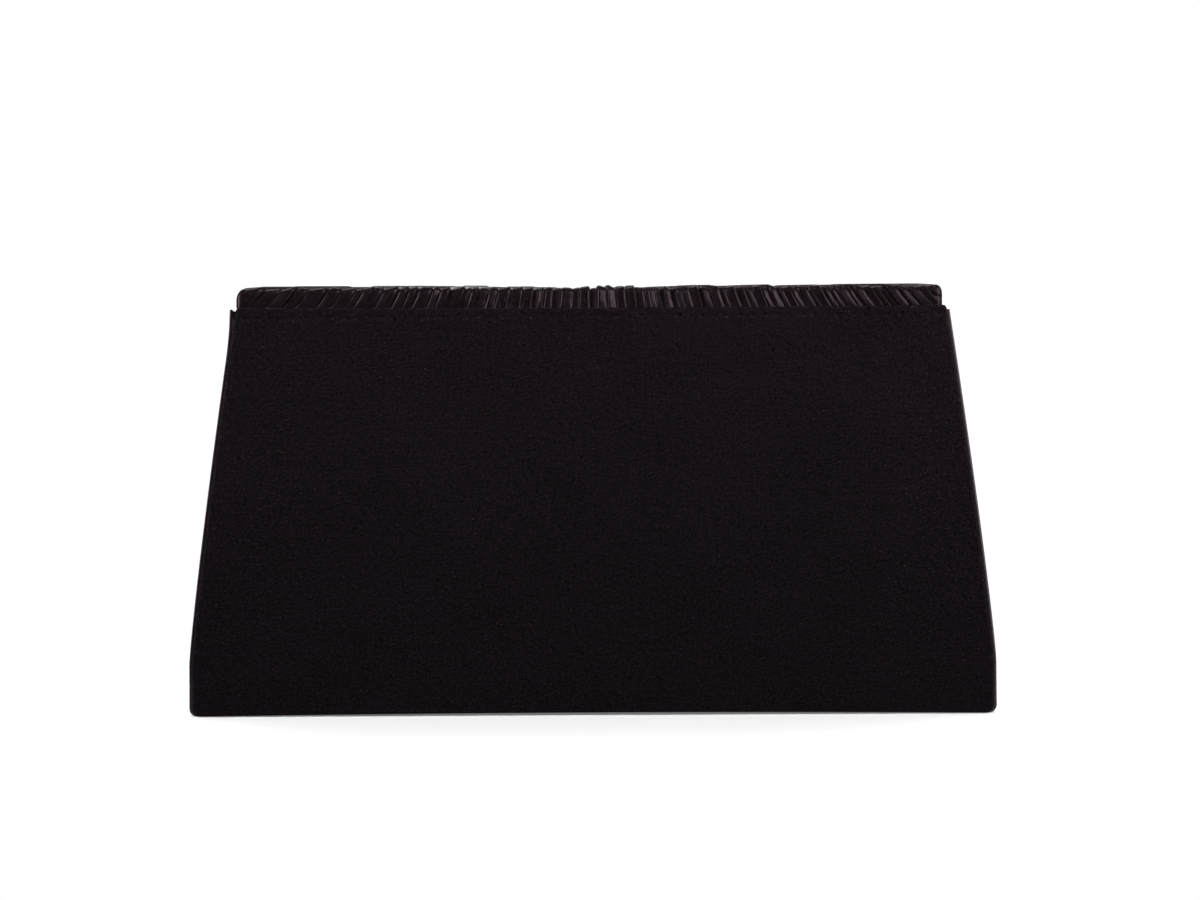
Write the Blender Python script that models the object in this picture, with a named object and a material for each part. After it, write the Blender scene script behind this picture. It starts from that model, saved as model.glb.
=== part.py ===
"""Black satin envelope clutch with a fan-pleated flap, standing on its base.

The plain back faces -Y, the flap hangs on the +Y side, and the origin is on the floor under the middle.
The back wall, the base and two folding gussets carry a front wall that can be pressed in and a flap that
folds along two lines: where it leaves the back hem, and where its roll meets the front.
Lengths are in metres.
"""

import math

import bmesh
import bpy
from mathutils import Matrix, Vector

# Body
BASE_WIDTH = 0.2640  # across the gussets at their widest
TOP_WIDTH = 0.2346  # across the gussets at the height of the hem
HEM_HEIGHT = 0.1333  # from the floor to the top edge of the back panel
FRONT_DROP = 0.0028  # the front panel ends this far below the back panel
UPRIGHT_HEIGHT = 0.0170  # the sides are upright up to here
FLARE_POWER = 1.15  # how softly the sides start to lean in above that
FOOT_RADIUS = 0.0026  # lower corners of the panels and gussets
TOP_RADIUS = 0.0012  # upper corners of the panels
BASE_DEPTH = 0.0344  # between the outer faces of back and front, at the floor
BACK_LEAN = 0.0088  # how far the back panel leans in, at the height of the hem
FRONT_LEAN = 0.0041  # how far the front panel leans in, at the height of the hem
GUSSET_REVEAL = 0.0011  # the gussets stand out this far beyond the panels
GUSSET_FOLD = 0.0070  # depth of the gussets' inward fold, at the height of the hem
GUSSET_DROP = 0.0015  # the gussets end this far below the panels
PRESS_ANGLE = math.radians(5)  # how far the front wall can be pressed in

# Layers
CLEAR = 0.0003  # between neighbouring layers and pieces
SATIN = 0.0006
LINING = 0.0005
BOARD = 0.0014
FRONT_BOARD = 0.0012
FLAP_BOARD = 0.0010
ROLL_WADDING = 0.0008
EDGE_ROUND = 0.0010  # outer edges of the covered panels
BASE_CORNER = 0.0020
LINING_DROP = 0.0030  # the gusset linings end this far below the gussets

# Hem, facing and pocket
HEM_TURN = 0.0100  # height of the turned hem of the back panel
HEM_END = 0.0030  # folded corner at each end of the hem
FACING_HEIGHT = 0.0110  # satin facing inside the front wall
POCKET_WIDTH = 0.1200
POCKET_HEIGHT = 0.0700
POCKET_FOOT = 0.0350  # from the foot of the back wall to the pocket
POCKET_CORNER = 0.0060

# Magnetic snap
SNAP_RADIUS = 0.0072
CAP_WALL = 0.00045
SNAP_HOLE_RADIUS = 0.0034
MAGNET_HOLE_RADIUS = 0.0037
MAGNET_THICK = 0.0012
PLATE_THICK = 0.0005
STUD_RADIUS = 0.0070
STUD_DISC = 0.0008
STUD_POST_RADIUS = 0.0027
STUD_TIP_RADIUS = 0.0021
STUD_POST_LENGTH = 0.0020
WASHER_RADIUS = 0.0070
WASHER_THICK = 0.0005
WASHER_HOLE_RADIUS = 0.0015
PRONG_WIDTH = 0.0030
PRONG_THICK = 0.0005
PRONG_OFFSET = 0.0030  # from the snap's axis to the middle of a prong
PRONG_FOOT = 0.0030  # bent end of a prong, from the middle of its leg
SLOT_CLEAR = 0.0004  # around a prong where it passes through a layer

# Flap
HEM_STEP = 0.0010  # the roll rises this far inside the back panel's outer face
ROLL_RISE = 0.00173  # straight part of the flap between the hem and the roll
BACK_BEND = 0.0012  # inner radius of the roll above the hem
FRONT_BEND = 0.0032  # inner radius of the roll above the front
FLAP_LOW = 0.0160  # from the floor to the flap's lower edge, up the front
FLAP_SIDE_INSET = 0.0012  # the flap ends this far inside the panels' sides
FLAP_CORNER = 0.0140
GATHER_INSET = 0.01644  # from the flap's lower edge to the middle of the fan
GATHER_RADIUS = 0.0120  # the pleats run out at this distance from the middle of the fan
PLEAT_DEPTH = 0.0013
PLEAT_SKEW = 0.3  # how far a crest leans outward, in half pleats
PLEAT_FADE = 0.0040  # crests sink to nothing over this distance from a side
EDGE_CREST = 0.3  # height of a crest where it turns over the flap's edge
ROLL_PLEATS = 60
SIDE_PLEATS = 12
CORNER_PLEATS = 3
LOW_PLEATS = 7
TAB_HALF_WIDTH = 0.0090
TAB_HALF_HEIGHT = 0.0105
TAB_THICK = 0.0020
TAB_CROWN = 0.6  # size of the tab's flat top, as a share of the tab
FAN_FULL = 0.1  # where the crests have risen fully, as a share of the way from the edge to the gather
FAN_SINK = 0.6  # where the crests begin to sink toward the gather, as such a share
FAN_SUNK_HEIGHT = 0.6  # height of the crests there

# Facets
ARC_STEPS = 4
SIDE_STEPS = 7
ROLL_STEPS = 4
GUSSET_STEPS = 8
ROUND_SIDES = 24
TAB_SIDES = 24
TAB_STEPS = 3
WELD = 1e-7  # points closer than this are one
SHARP_ANGLE = math.radians(40)  # edges sharper than this stay sharp

# Colours
SATIN_COLOUR = (0.0095, 0.0068, 0.0084)
PLEATS_COLOUR = (0.0130, 0.0095, 0.0115)
LINING_COLOUR = (0.0110, 0.0095, 0.0105)
BOARD_COLOUR = (0.30, 0.25, 0.19)
WADDING_COLOUR = (0.72, 0.71, 0.68)
NICKEL_COLOUR = (0.66, 0.64, 0.60)
FERRITE_COLOUR = (0.045, 0.045, 0.050)

# Sizes that follow from these
FRONT_HEIGHT = HEM_HEIGHT - FRONT_DROP
GATHER_UP = FLAP_LOW + GATHER_INSET
WADDING = WASHER_THICK + CLEAR + PRONG_THICK
BACK_THICK = SATIN + CLEAR + BOARD + CLEAR + LINING
BASE_THICK = BACK_THICK
FRONT_THICK = SATIN + CLEAR + FRONT_BOARD + CLEAR + WADDING + CLEAR + LINING
ROLL_THICK = PLEAT_DEPTH + SATIN + CLEAR + ROLL_WADDING + CLEAR + LINING
BACK_ROLL = BACK_BEND + ROLL_THICK
FRONT_ROLL = FRONT_BEND + ROLL_THICK
FLAP_INNER = LINING + CLEAR + FLAP_BOARD + CLEAR + WADDING + CLEAR
FLAP_THICK = FLAP_INNER + SATIN + PLEAT_DEPTH
CAP_HEIGHT = PLATE_THICK + CLEAR + MAGNET_THICK + CLEAR + CAP_WALL
FLAP_GAP = CLEAR + CAP_HEIGHT + CLEAR + STUD_DISC + CLEAR
POCKET_GAP = SATIN + CLEAR  # from a cover's outer edge to what lies inside it
HEM_LIP = SATIN + HEM_END  # solid ends of the hem
CUT_OVERLAP = 0.0010  # cutters run this far past what they cut


class Wall:
    """A leaning wall: across runs along X, up follows the slope and depth goes inward from the outer face."""

    def __init__(self, foot_y, lean, inward, thick):
        self.foot_y = foot_y
        self.thick = thick
        self.up = Vector((0, inward * lean, HEM_HEIGHT)).normalized()
        self.inward = inward * Vector((0, self.up.z, -self.up.y))

    def at(self, across, up, depth):
        return Vector((across, self.foot_y, 0)) + up * self.up + depth * self.inward

    def up_to(self, z, depth=0):
        """How far up the slope the height z is, at a depth."""
        return (z - depth * self.inward.z) / self.up.z

    def y_at(self, z, depth):
        """Where the layer at a depth is, at the height z."""
        return self.at(0, self.up_to(z, depth), depth).y

    def foot(self, swing=0):
        """The lowest place on the outer face that keeps the wall off the floor, also when it swings in."""
        return self.thick * (math.sin(swing) - self.inward.z) / self.up.z


BACK = Wall(0, BACK_LEAN, 1, BACK_THICK)
FRONT = Wall(BASE_DEPTH, FRONT_LEAN, -1, FRONT_THICK)
BACK_FOOT = BACK.foot()
BACK_TOP = BACK.up_to(HEM_HEIGHT)
FRONT_FOOT = FRONT.foot(PRESS_ANGLE)
FRONT_TOP = FRONT.up_to(FRONT_HEIGHT)


def side_half_width(z):
    """Half the width across the gussets: upright at the foot, then leaning in toward the top."""
    half = BASE_WIDTH / 2
    if z > UPRIGHT_HEIGHT:
        rise = (z - UPRIGHT_HEIGHT) / (HEM_HEIGHT - UPRIGHT_HEIGHT)
        half -= (BASE_WIDTH - TOP_WIDTH) / 2 * rise**FLARE_POWER
    if z < FOOT_RADIUS:
        half -= FOOT_RADIUS - math.sqrt(FOOT_RADIUS**2 - (FOOT_RADIUS - z) ** 2)
    return half


def flap_half_width(up):
    return side_half_width(up) - GUSSET_REVEAL - FLAP_SIDE_INSET


def spaced(start, end, steps):
    return [start + (end - start) * i / steps for i in range(steps + 1)]


def arc(x, y, radius, start, end, steps):
    return [(x + radius * math.cos(a), y + radius * math.sin(a)) for a in spaced(start, end, steps)]


def mirrored(right):
    """A closed outline from its right half, which runs upward."""
    return right + [(-x, y) for x, y in reversed(right)]


def panel_outline(low, high, side_gap, low_radius, high_radius):
    """Outline of a piece of a wall in (across, up): its sides follow the body's, a gap inside them."""

    def half(up):
        return side_half_width(max(up, FOOT_RADIUS)) - side_gap

    low_up = low + low_radius
    high_up = high - high_radius
    right = arc(half(low_up) - low_radius, low_up, low_radius, -math.pi / 2, 0, ARC_STEPS)
    right += [(half(up), up) for up in spaced(low_up, high_up, SIDE_STEPS)[1:-1]]
    right += arc(half(high_up) - high_radius, high_up, high_radius, 0, math.pi / 2, ARC_STEPS)
    return mirrored(right)


def box_outline(half_width, low, high, radius):
    """A rectangle with round corners."""
    right = arc(half_width - radius, low + radius, radius, -math.pi / 2, 0, ARC_STEPS)
    right += arc(half_width - radius, high - radius, radius, 0, math.pi / 2, ARC_STEPS)
    return mirrored(right)


def solid(build):
    """A mesh from a bmesh, with doubled points welded and faces turned out."""
    bmesh.ops.remove_doubles(build, verts=build.verts, dist=WELD)
    bmesh.ops.recalc_face_normals(build, faces=build.faces)
    mesh = bpy.data.meshes.new("solid")
    build.to_mesh(mesh)
    build.free()
    return mesh


def loft(loops, closed=False):
    """A solid whose skin runs through loops of equally many points, with flat ends or closed on itself."""
    build = bmesh.new()
    rings = [[build.verts.new(point) for point in loop] for loop in loops]
    pairs = list(zip(rings, rings[1:]))
    if closed:
        pairs.append((rings[-1], rings[0]))
    else:
        build.faces.new(rings[0])
        build.faces.new(rings[-1])
    for here, there in pairs:
        for i in range(len(here)):
            build.faces.new((here[i - 1], here[i], there[i], there[i - 1]))
    return solid(build)


def shell(outside, inside):
    """A thin solid between two grids of points with the same rows and columns."""
    build = bmesh.new()
    out = [[build.verts.new(point) for point in row] for row in outside]
    into = [[build.verts.new(point) for point in row] for row in inside]
    for grid in (out, into):
        for low, high in zip(grid, grid[1:]):
            for i in range(1, len(low)):
                build.faces.new((low[i - 1], low[i], high[i], high[i - 1]))

    def rim(grid):
        right = [row[-1] for row in grid[1:-1]]
        left = [row[0] for row in reversed(grid[1:-1])]
        return grid[0] + right + list(reversed(grid[-1])) + left

    edge_out = rim(out)
    edge_in = rim(into)
    for i in range(len(edge_out)):
        build.faces.new((edge_out[i - 1], edge_out[i], edge_in[i], edge_in[i - 1]))
    return solid(build)


def turned(profile, closed=False):
    """A round solid from a profile of (radius, height) about the snap's axis."""
    angles = [2 * math.pi * i / ROUND_SIDES for i in range(ROUND_SIDES)]
    loops = [[(r * math.cos(a), r * math.sin(a), h) for a in angles] for r, h in profile]
    return loft(loops, closed)


def wall_plate(wall, outline, near, far):
    return loft([[wall.at(x, up, depth) for x, up in outline] for depth in (near, far)])


def material(name, colour, roughness, metallic=0.0):
    made = bpy.data.materials.new(name)
    made.use_nodes = True
    shader = made.node_tree.nodes["Principled BSDF"]
    shader.inputs["Base Color"].default_value = (*colour, 1)
    shader.inputs["Roughness"].default_value = roughness
    shader.inputs["Metallic"].default_value = metallic
    made.diffuse_color = (*colour, 1)
    return made


class Purse:
    """The pieces, each parented to the axis that it turns about."""

    def __init__(self):
        self.root = bpy.data.objects.new("purse", None)
        bpy.context.collection.objects.link(self.root)
        self.span = []
        self.satin = material("satin", SATIN_COLOUR, roughness=0.42)
        self.pleats = material("pleated satin", PLEATS_COLOUR, roughness=0.36)
        self.lining = material("lining", LINING_COLOUR, roughness=0.55)
        self.board = material("board", BOARD_COLOUR, roughness=0.9)
        self.wadding = material("wadding", WADDING_COLOUR, roughness=0.95)
        self.metal = material("nickel", NICKEL_COLOUR, roughness=0.25, metallic=1.0)
        self.ferrite = material("ferrite", FERRITE_COLOUR, roughness=0.5, metallic=0.2)

    def axis(self, name, place, parent):
        """An empty on a joint's axis, at a place in the purse's own frame."""
        empty = bpy.data.objects.new(name, None)
        empty["place"] = place
        empty.location = place - Vector(parent.get("place", (0, 0, 0)))
        empty.parent = parent
        bpy.context.collection.objects.link(empty)
        return empty

    def link(self, name, mesh, axis):
        """An object with its origin on the axis that it turns about."""
        mesh.name = name
        mesh.transform(Matrix.Translation(-Vector(axis.get("place", (0, 0, 0)))))
        piece = bpy.data.objects.new(name, mesh)
        piece.parent = axis
        bpy.context.collection.objects.link(piece)
        return piece

    def add(self, name, mesh, look, axis):
        """One piece of the purse."""
        self.span += [vertex.co.y for vertex in mesh.vertices]
        mesh.materials.append(look)
        return self.link(name, mesh, axis)

    def helper(self, name, mesh, axis):
        """A solid that only cuts or joins others."""
        piece = self.link(name, mesh, axis)
        piece.hide_render = True
        piece.display_type = "WIRE"
        return piece

    def centre(self):
        """Puts the middle of the purse's depth over the origin."""
        self.root.location.y = -(min(self.span) + max(self.span)) / 2


def combine(piece, operation, other):
    change = piece.modifiers.new(operation.lower(), "BOOLEAN")
    change.operation = operation
    change.solver = "EXACT"
    change.object = other


def smooth(piece):
    piece.data.shade_smooth()
    piece.data.set_sharp_from_angle(angle=SHARP_ANGLE)


def cover_tray(wall, low, high, pocket_high):
    """A satin cover turned round the edges of a wall, with a round outer edge and a pocket for the layers."""
    half_round = EDGE_ROUND * (1 - math.sqrt(0.5))
    outer = []
    for inset, depth in ((EDGE_ROUND, 0), (half_round, half_round), (0, EDGE_ROUND), (0, wall.thick)):
        radius = max(FOOT_RADIUS - inset, TOP_RADIUS)
        shape = panel_outline(low + inset, high - inset, GUSSET_REVEAL + inset, radius, TOP_RADIUS)
        outer.append([wall.at(x, up, depth) for x, up in shape])
    hollow = panel_outline(low + SATIN, pocket_high, GUSSET_REVEAL + SATIN, FOOT_RADIUS - SATIN, TOP_RADIUS)
    inner = [[wall.at(x, up, depth) for x, up in hollow] for depth in (wall.thick, SATIN)]
    return loft(outer + inner)


def layer_outline(low, high):
    """Outline of a layer that lies inside a wall's cover."""
    return panel_outline(low, high, GUSSET_REVEAL + POCKET_GAP, FOOT_RADIUS - SATIN, TOP_RADIUS)


def make_back_wall(purse):
    hem_foot = BACK_TOP - HEM_TURN
    cover = cover_tray(BACK, BACK_FOOT, BACK_TOP, hem_foot)
    panel = purse.add("back_panel", cover, purse.satin, purse.root)
    smooth(panel)
    hem_gap = GUSSET_REVEAL + HEM_LIP
    opening = panel_outline(hem_foot - CUT_OVERLAP, BACK_TOP + CUT_OVERLAP, hem_gap, TOP_RADIUS, TOP_RADIUS)
    behind_hem = wall_plate(BACK, opening, 2 * SATIN, BACK_THICK + CUT_OVERLAP)
    combine(panel, "DIFFERENCE", purse.helper("space_behind_hem", behind_hem, purse.root))

    layer = layer_outline(BACK_FOOT + POCKET_GAP, hem_foot - CLEAR)
    inside = BACK_THICK - LINING
    board = wall_plate(BACK, layer, POCKET_GAP, POCKET_GAP + BOARD)
    purse.add("back_board", board, purse.board, purse.root)
    purse.add("back_lining", wall_plate(BACK, layer, inside, BACK_THICK), purse.lining, purse.root)

    strip = panel_outline(hem_foot, BACK_TOP, hem_gap + CLEAR, TOP_RADIUS, TOP_RADIUS)
    anchor = wall_plate(BACK, strip, 2 * SATIN + CLEAR, inside - CLEAR)
    purse.add("flap_anchor", anchor, purse.pleats, purse.root)
    purse.add("back_facing", wall_plate(BACK, strip, inside, BACK_THICK), purse.satin, purse.root)

    patch = box_outline(POCKET_WIDTH / 2, POCKET_FOOT, POCKET_FOOT + POCKET_HEIGHT, POCKET_CORNER)
    on_lining = BACK_THICK + CLEAR
    purse.add("slip_pocket", wall_plate(BACK, patch, on_lining, on_lining + LINING), purse.lining, purse.root)


def make_base(purse):
    half = side_half_width(0) - SATIN - CLEAR
    low = BACK.y_at(BASE_THICK, BACK_THICK) + CLEAR
    swing = BASE_THICK * math.tan(PRESS_ANGLE)
    high = FRONT.y_at(BASE_THICK, FRONT_THICK) - CLEAR - swing

    def ring(inset, z):
        radius = max(BASE_CORNER - inset, TOP_RADIUS)
        shape = box_outline(half - inset, low + inset, high - inset, radius)
        return [(x, y, z) for x, y in shape]

    outer = [ring(EDGE_ROUND, 0), ring(0, EDGE_ROUND), ring(0, BASE_THICK)]
    inner = [ring(SATIN, BASE_THICK), ring(SATIN, SATIN)]
    smooth(purse.add("base_panel", loft(outer + inner), purse.satin, purse.root))
    board = loft([ring(POCKET_GAP, z) for z in (POCKET_GAP, POCKET_GAP + BOARD)])
    purse.add("base_board", board, purse.board, purse.root)
    lining = loft([ring(POCKET_GAP, z) for z in (BASE_THICK - LINING, BASE_THICK)])
    purse.add("base_lining", lining, purse.lining, purse.root)


def gusset_point(side, z, share, depth):
    """A point of a gusset: share runs from the back wall to the front wall, depth goes inward."""
    low = BACK.y_at(z, BACK_THICK) + CLEAR
    high = FRONT.y_at(z, FRONT_THICK) - CLEAR
    fold = GUSSET_FOLD * z / HEM_HEIGHT
    turn = 2 * math.pi * share
    slope = fold * math.pi * math.sin(turn) / (high - low)
    x = side_half_width(z) - fold * (1 - math.cos(turn)) / 2 - depth * math.hypot(1, slope)
    return (side * x, low + (high - low) * share, z)


def make_gusset(purse, name, side, look, foot, drop, near, far):
    """A sheet between the side edges of the two walls, folding in toward the top."""
    corner = [FOOT_RADIUS * (1 - math.cos(turn)) for turn in spaced(0, math.pi / 2, ARC_STEPS)]
    heights = [foot] + [z for z in corner if z > foot]
    heights += spaced(max(foot, UPRIGHT_HEIGHT), HEM_HEIGHT, SIDE_STEPS)
    grids = []
    for depth in (near, far):
        rows = []
        for z in heights:
            row = []
            for share in spaced(0, 1, GUSSET_STEPS):
                top = HEM_HEIGHT + (FRONT_HEIGHT - HEM_HEIGHT) * share - GUSSET_DROP - drop
                reach = foot + (z - foot) * (top - foot) / (HEM_HEIGHT - foot)
                row.append(gusset_point(side, reach, share, depth))
            rows.append(row)
        grids.append(rows)
    smooth(purse.add(name, shell(*grids), look, purse.root))


def make_gussets(purse):
    near = SATIN + CLEAR
    far = near + LINING
    lining_foot = BASE_THICK + CLEAR
    for name, side in (("left_gusset", -1), ("right_gusset", 1)):
        make_gusset(purse, name, side, purse.satin, 0, 0, 0, SATIN)
        make_gusset(purse, name + "_lining", side, purse.lining, lining_foot, LINING_DROP, near, far)


class Snap:
    """The snap's axis, square to the front wall, with height 0 on the front panel's outer face."""

    def __init__(self, up):
        self.origin = FRONT.at(0, up, 0)
        outward = -FRONT.inward
        across = Vector((1, 0, 0))
        turn = Matrix((across, outward.cross(across), outward)).transposed()
        self.matrix = Matrix.Translation(self.origin) @ turn.to_4x4()

    def place(self, mesh):
        mesh.transform(self.matrix)
        return mesh


def prong_pair(root, foot_near, foot_far):
    """Two bent prongs from a plate: legs along the axis and feet turned outward."""
    build = bmesh.new()
    half = PRONG_THICK / 2
    for side in (-1, 1):
        profile = (
            (PRONG_OFFSET - half, root),
            (PRONG_OFFSET + half, root),
            (PRONG_OFFSET + half, foot_near),
            (PRONG_OFFSET + PRONG_FOOT, foot_near),
            (PRONG_OFFSET + PRONG_FOOT, foot_far),
            (PRONG_OFFSET - half, foot_far),
        )
        corners = [build.verts.new((side * x, -PRONG_WIDTH / 2, h)) for x, h in profile]
        face = build.faces.new(corners)
        grown = bmesh.ops.extrude_face_region(build, geom=[face])["geom"]
        moved = [item for item in grown if isinstance(item, bmesh.types.BMVert)]
        bmesh.ops.translate(build, verts=moved, vec=(0, PRONG_WIDTH, 0))
    return solid(build)


def slot_pair(low, high):
    """Cutters for the slots that the prongs pass through."""
    build = bmesh.new()
    size = (PRONG_THICK + 2 * SLOT_CLEAR, PRONG_WIDTH + 2 * SLOT_CLEAR, high - low)
    for side in (-1, 1):
        middle = Vector((side * PRONG_OFFSET, 0, (low + high) / 2))
        bmesh.ops.create_cube(build, size=1, matrix=Matrix.LocRotScale(middle, None, size))
    return solid(build)


def disc_profile(radius, low, high):
    return [(radius, low), (radius, high)]


def ring_profile(inner, outer, low, high):
    return [(outer, low), (outer, high), (inner, high), (inner, low)]


def make_front_wall(purse, snap):
    axis = purse.axis("front_wall_axis", FRONT.at(0, FRONT_FOOT, 0), purse.root)
    cover = cover_tray(FRONT, FRONT_FOOT, FRONT_TOP, FRONT_TOP - SATIN)
    panel = purse.add("front_panel", cover, purse.satin, axis)
    smooth(panel)
    low = FRONT_FOOT + POCKET_GAP
    high = FRONT_TOP - POCKET_GAP
    layer = layer_outline(low, high)
    washer_near = POCKET_GAP + FRONT_BOARD + CLEAR
    stiff = wall_plate(FRONT, layer, POCKET_GAP, POCKET_GAP + FRONT_BOARD)
    board = purse.add("front_board", stiff, purse.board, axis)
    soft = wall_plate(FRONT, layer, washer_near, washer_near + WADDING)
    wadding = purse.add("front_wadding", soft, purse.wadding, axis)
    below = layer_outline(low, high - FACING_HEIGHT - CLEAR)
    above = panel_outline(high - FACING_HEIGHT, high, GUSSET_REVEAL + POCKET_GAP, TOP_RADIUS, TOP_RADIUS)
    inside = FRONT_THICK - LINING
    purse.add("front_lining", wall_plate(FRONT, below, inside, FRONT_THICK), purse.lining, axis)
    purse.add("front_facing", wall_plate(FRONT, above, inside, FRONT_THICK), purse.satin, axis)

    washer_far = washer_near + WASHER_THICK
    ring = ring_profile(WASHER_HOLE_RADIUS, WASHER_RADIUS, -washer_far, -washer_near)
    washer = purse.add("snap_washer", snap.place(turned(ring, True)), purse.metal, axis)
    slots = purse.helper("snap_slots", snap.place(slot_pair(-washer_far - CUT_OVERLAP, CUT_OVERLAP)), axis)
    for cut_through in (panel, board, washer):
        combine(cut_through, "DIFFERENCE", slots)
    hole = disc_profile(WASHER_RADIUS + CLEAR, -FRONT_THICK, -washer_near + CUT_OVERLAP)
    combine(wadding, "DIFFERENCE", purse.helper("snap_well", snap.place(turned(hole)), axis))

    foot_near = -washer_far - CLEAR
    plate_radius = SNAP_RADIUS - CAP_WALL - CLEAR
    disc = turned(disc_profile(plate_radius, CLEAR, CLEAR + PLATE_THICK))
    plate = purse.add("snap_plate", snap.place(disc), purse.metal, axis)
    prongs = prong_pair(CLEAR + PLATE_THICK / 2, foot_near, foot_near - PRONG_THICK)
    combine(plate, "UNION", purse.helper("snap_prongs", snap.place(prongs), axis))
    magnet_low = CLEAR + PLATE_THICK + CLEAR
    magnet = ring_profile(MAGNET_HOLE_RADIUS, plate_radius, magnet_low, magnet_low + MAGNET_THICK)
    smooth(purse.add("snap_magnet", snap.place(turned(magnet, True)), purse.ferrite, axis))
    cap_top = CLEAR + CAP_HEIGHT
    cap = [
        (SNAP_RADIUS, CLEAR),
        (SNAP_RADIUS, cap_top - CAP_WALL),
        (SNAP_RADIUS - CAP_WALL, cap_top),
        (SNAP_HOLE_RADIUS, cap_top),
        (SNAP_HOLE_RADIUS, cap_top - CAP_WALL),
        (SNAP_RADIUS - CAP_WALL, cap_top - CAP_WALL),
        (SNAP_RADIUS - CAP_WALL, CLEAR),
    ]
    smooth(purse.add("snap_cap", snap.place(turned(cap, True)), purse.metal, axis))


class Roll:
    """The flap's outer outline over the top, in the (y, z) plane, from the hem to the fold above the front.

    A station holds the distance from the hem along the outline, the position and the outward normal.
    The fan's reach is the way along the satin from the hem to the middle of the fan.
    """

    def __init__(self):
        hinge_z = HEM_HEIGHT + CLEAR
        self.hinge = Vector((0, BACK.y_at(hinge_z, HEM_STEP), hinge_z))
        rise = math.atan2(BACK.up.z, BACK.up.y)
        fall = math.atan2(-FRONT.up.z, -FRONT.up.y)
        ridge = hinge_z + ROLL_RISE * math.sin(rise) + BACK_ROLL * (1 - math.cos(rise))
        back_y = self.hinge.y + ROLL_RISE * math.cos(rise) + BACK_ROLL * math.sin(rise)
        fold_z = ridge - FRONT_ROLL * (1 - math.cos(fall))
        outer_depth = -FLAP_GAP - FLAP_THICK
        fold_y = FRONT.y_at(fold_z, outer_depth)
        front_y = fold_y + FRONT_ROLL * math.sin(fall)
        back_end = ROLL_RISE + BACK_ROLL * rise
        front_start = back_end + front_y - back_y
        self.length = front_start - FRONT_ROLL * fall
        self.fold = Vector((0, fold_y, fold_z))
        self.fold_up = FRONT.up_to(fold_z, outer_depth)
        self.fan_reach = self.length + self.fold_up - GATHER_UP

        first = Vector((-math.sin(rise), math.cos(rise)))
        self.stations = [(0, self.hinge.yz, first)]
        for heading in spaced(rise, 0, ROLL_STEPS):
            normal = Vector((-math.sin(heading), math.cos(heading)))
            middle = Vector((back_y, ridge - BACK_ROLL))
            distance = ROLL_RISE + BACK_ROLL * (rise - heading)
            self.stations.append((distance, middle + BACK_ROLL * normal, normal))
        last = fall + CLEAR / 2 / FRONT_ROLL
        for heading in spaced(0, last, ROLL_STEPS):
            normal = Vector((-math.sin(heading), math.cos(heading)))
            middle = Vector((front_y, ridge - FRONT_ROLL))
            distance = front_start - FRONT_ROLL * heading
            self.stations.append((distance, middle + FRONT_ROLL * normal, normal))


def fan_columns(roll):
    """The lines of the fan that cross the roll, from left to right: their slope, and 1 for a crest."""
    columns = []
    half = flap_half_width(roll.fold_up)
    for step in range(-ROLL_PLEATS, ROLL_PLEATS + 1):
        crest = step % 2
        x = half * (step + math.copysign(PLEAT_SKEW * crest, step)) / ROLL_PLEATS
        columns.append((x / (roll.fan_reach - roll.length), crest))
    return columns


def roll_sheet(roll, half_width, near, far):
    """A smooth layer of the roll between two depths under its outer outline."""
    loops = []
    for _, place, normal in roll.stations:
        inner = place - near * normal
        outer = place - far * normal
        loop = [(-half_width, *inner), (half_width, *inner), (half_width, *outer), (-half_width, *outer)]
        loops.append(loop)
    return loft(loops)


def make_roll(purse, roll):
    axis = purse.axis("flap_hinge_axis", roll.hinge, purse.root)
    half = flap_half_width(roll.fold_up)
    hollow = half - SATIN
    under = PLEAT_DEPTH + SATIN
    turned_end = [
        (half, ROLL_THICK),
        (hollow, ROLL_THICK),
        (hollow, under),
        (-hollow, under),
        (-hollow, ROLL_THICK),
        (-half, ROLL_THICK),
    ]
    loops = []
    for distance, place, normal in roll.stations:
        section = []
        for slope, crest in fan_columns(roll):
            x = max(-half, min(half, slope * (roll.fan_reach - distance)))
            height = crest * min(1, (half - abs(x)) / PLEAT_FADE)
            section.append((x, PLEAT_DEPTH * (1 - height)))
        loops.append([(x, *(place - depth * normal)) for x, depth in section + turned_end])
    smooth(purse.add("spine_cover", loft(loops), purse.pleats, axis))
    inside = hollow - CLEAR
    wadding = roll_sheet(roll, inside, under + CLEAR, under + CLEAR + ROLL_WADDING)
    purse.add("spine_wadding", wadding, purse.wadding, axis)
    purse.add("spine_lining", roll_sheet(roll, inside, ROLL_THICK - LINING, ROLL_THICK), purse.lining, axis)
    return axis


def flap_rim(roll, inset):
    """Points round the flap's edge, an inset inside it, with the crest height that a pleat has there."""
    top = roll.fold_up - CLEAR / 2 - inset
    radius = FLAP_CORNER - inset
    corner_up = FLAP_LOW + FLAP_CORNER
    half = flap_half_width(roll.fold_up)
    right = []
    for slope, crest in fan_columns(roll)[ROLL_PLEATS:]:
        x = slope * (roll.fan_reach - roll.length)
        height = crest * min(1, (half - x) / PLEAT_FADE)
        right.append((min(x, half - inset), top, height))
    for step, up in enumerate(spaced(top, corner_up, 2 * SIDE_PLEATS)[1:]):
        right.append((flap_half_width(up) - inset, up, EDGE_CREST * (1 - step % 2)))
    corner_x = flap_half_width(corner_up) - FLAP_CORNER
    for step, turn in enumerate(spaced(0, -math.pi / 2, 2 * CORNER_PLEATS)[1:]):
        x = corner_x + radius * math.cos(turn)
        right.append((x, corner_up + radius * math.sin(turn), EDGE_CREST * (1 - step % 2)))
    for step, x in enumerate(spaced(corner_x, 0, 2 * LOW_PLEATS)[1:]):
        right.append((x, FLAP_LOW + inset, EDGE_CREST * (1 - step % 2)))
    return right + [(-x, up, height) for x, up, height in reversed(right[1:-1])]


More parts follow.
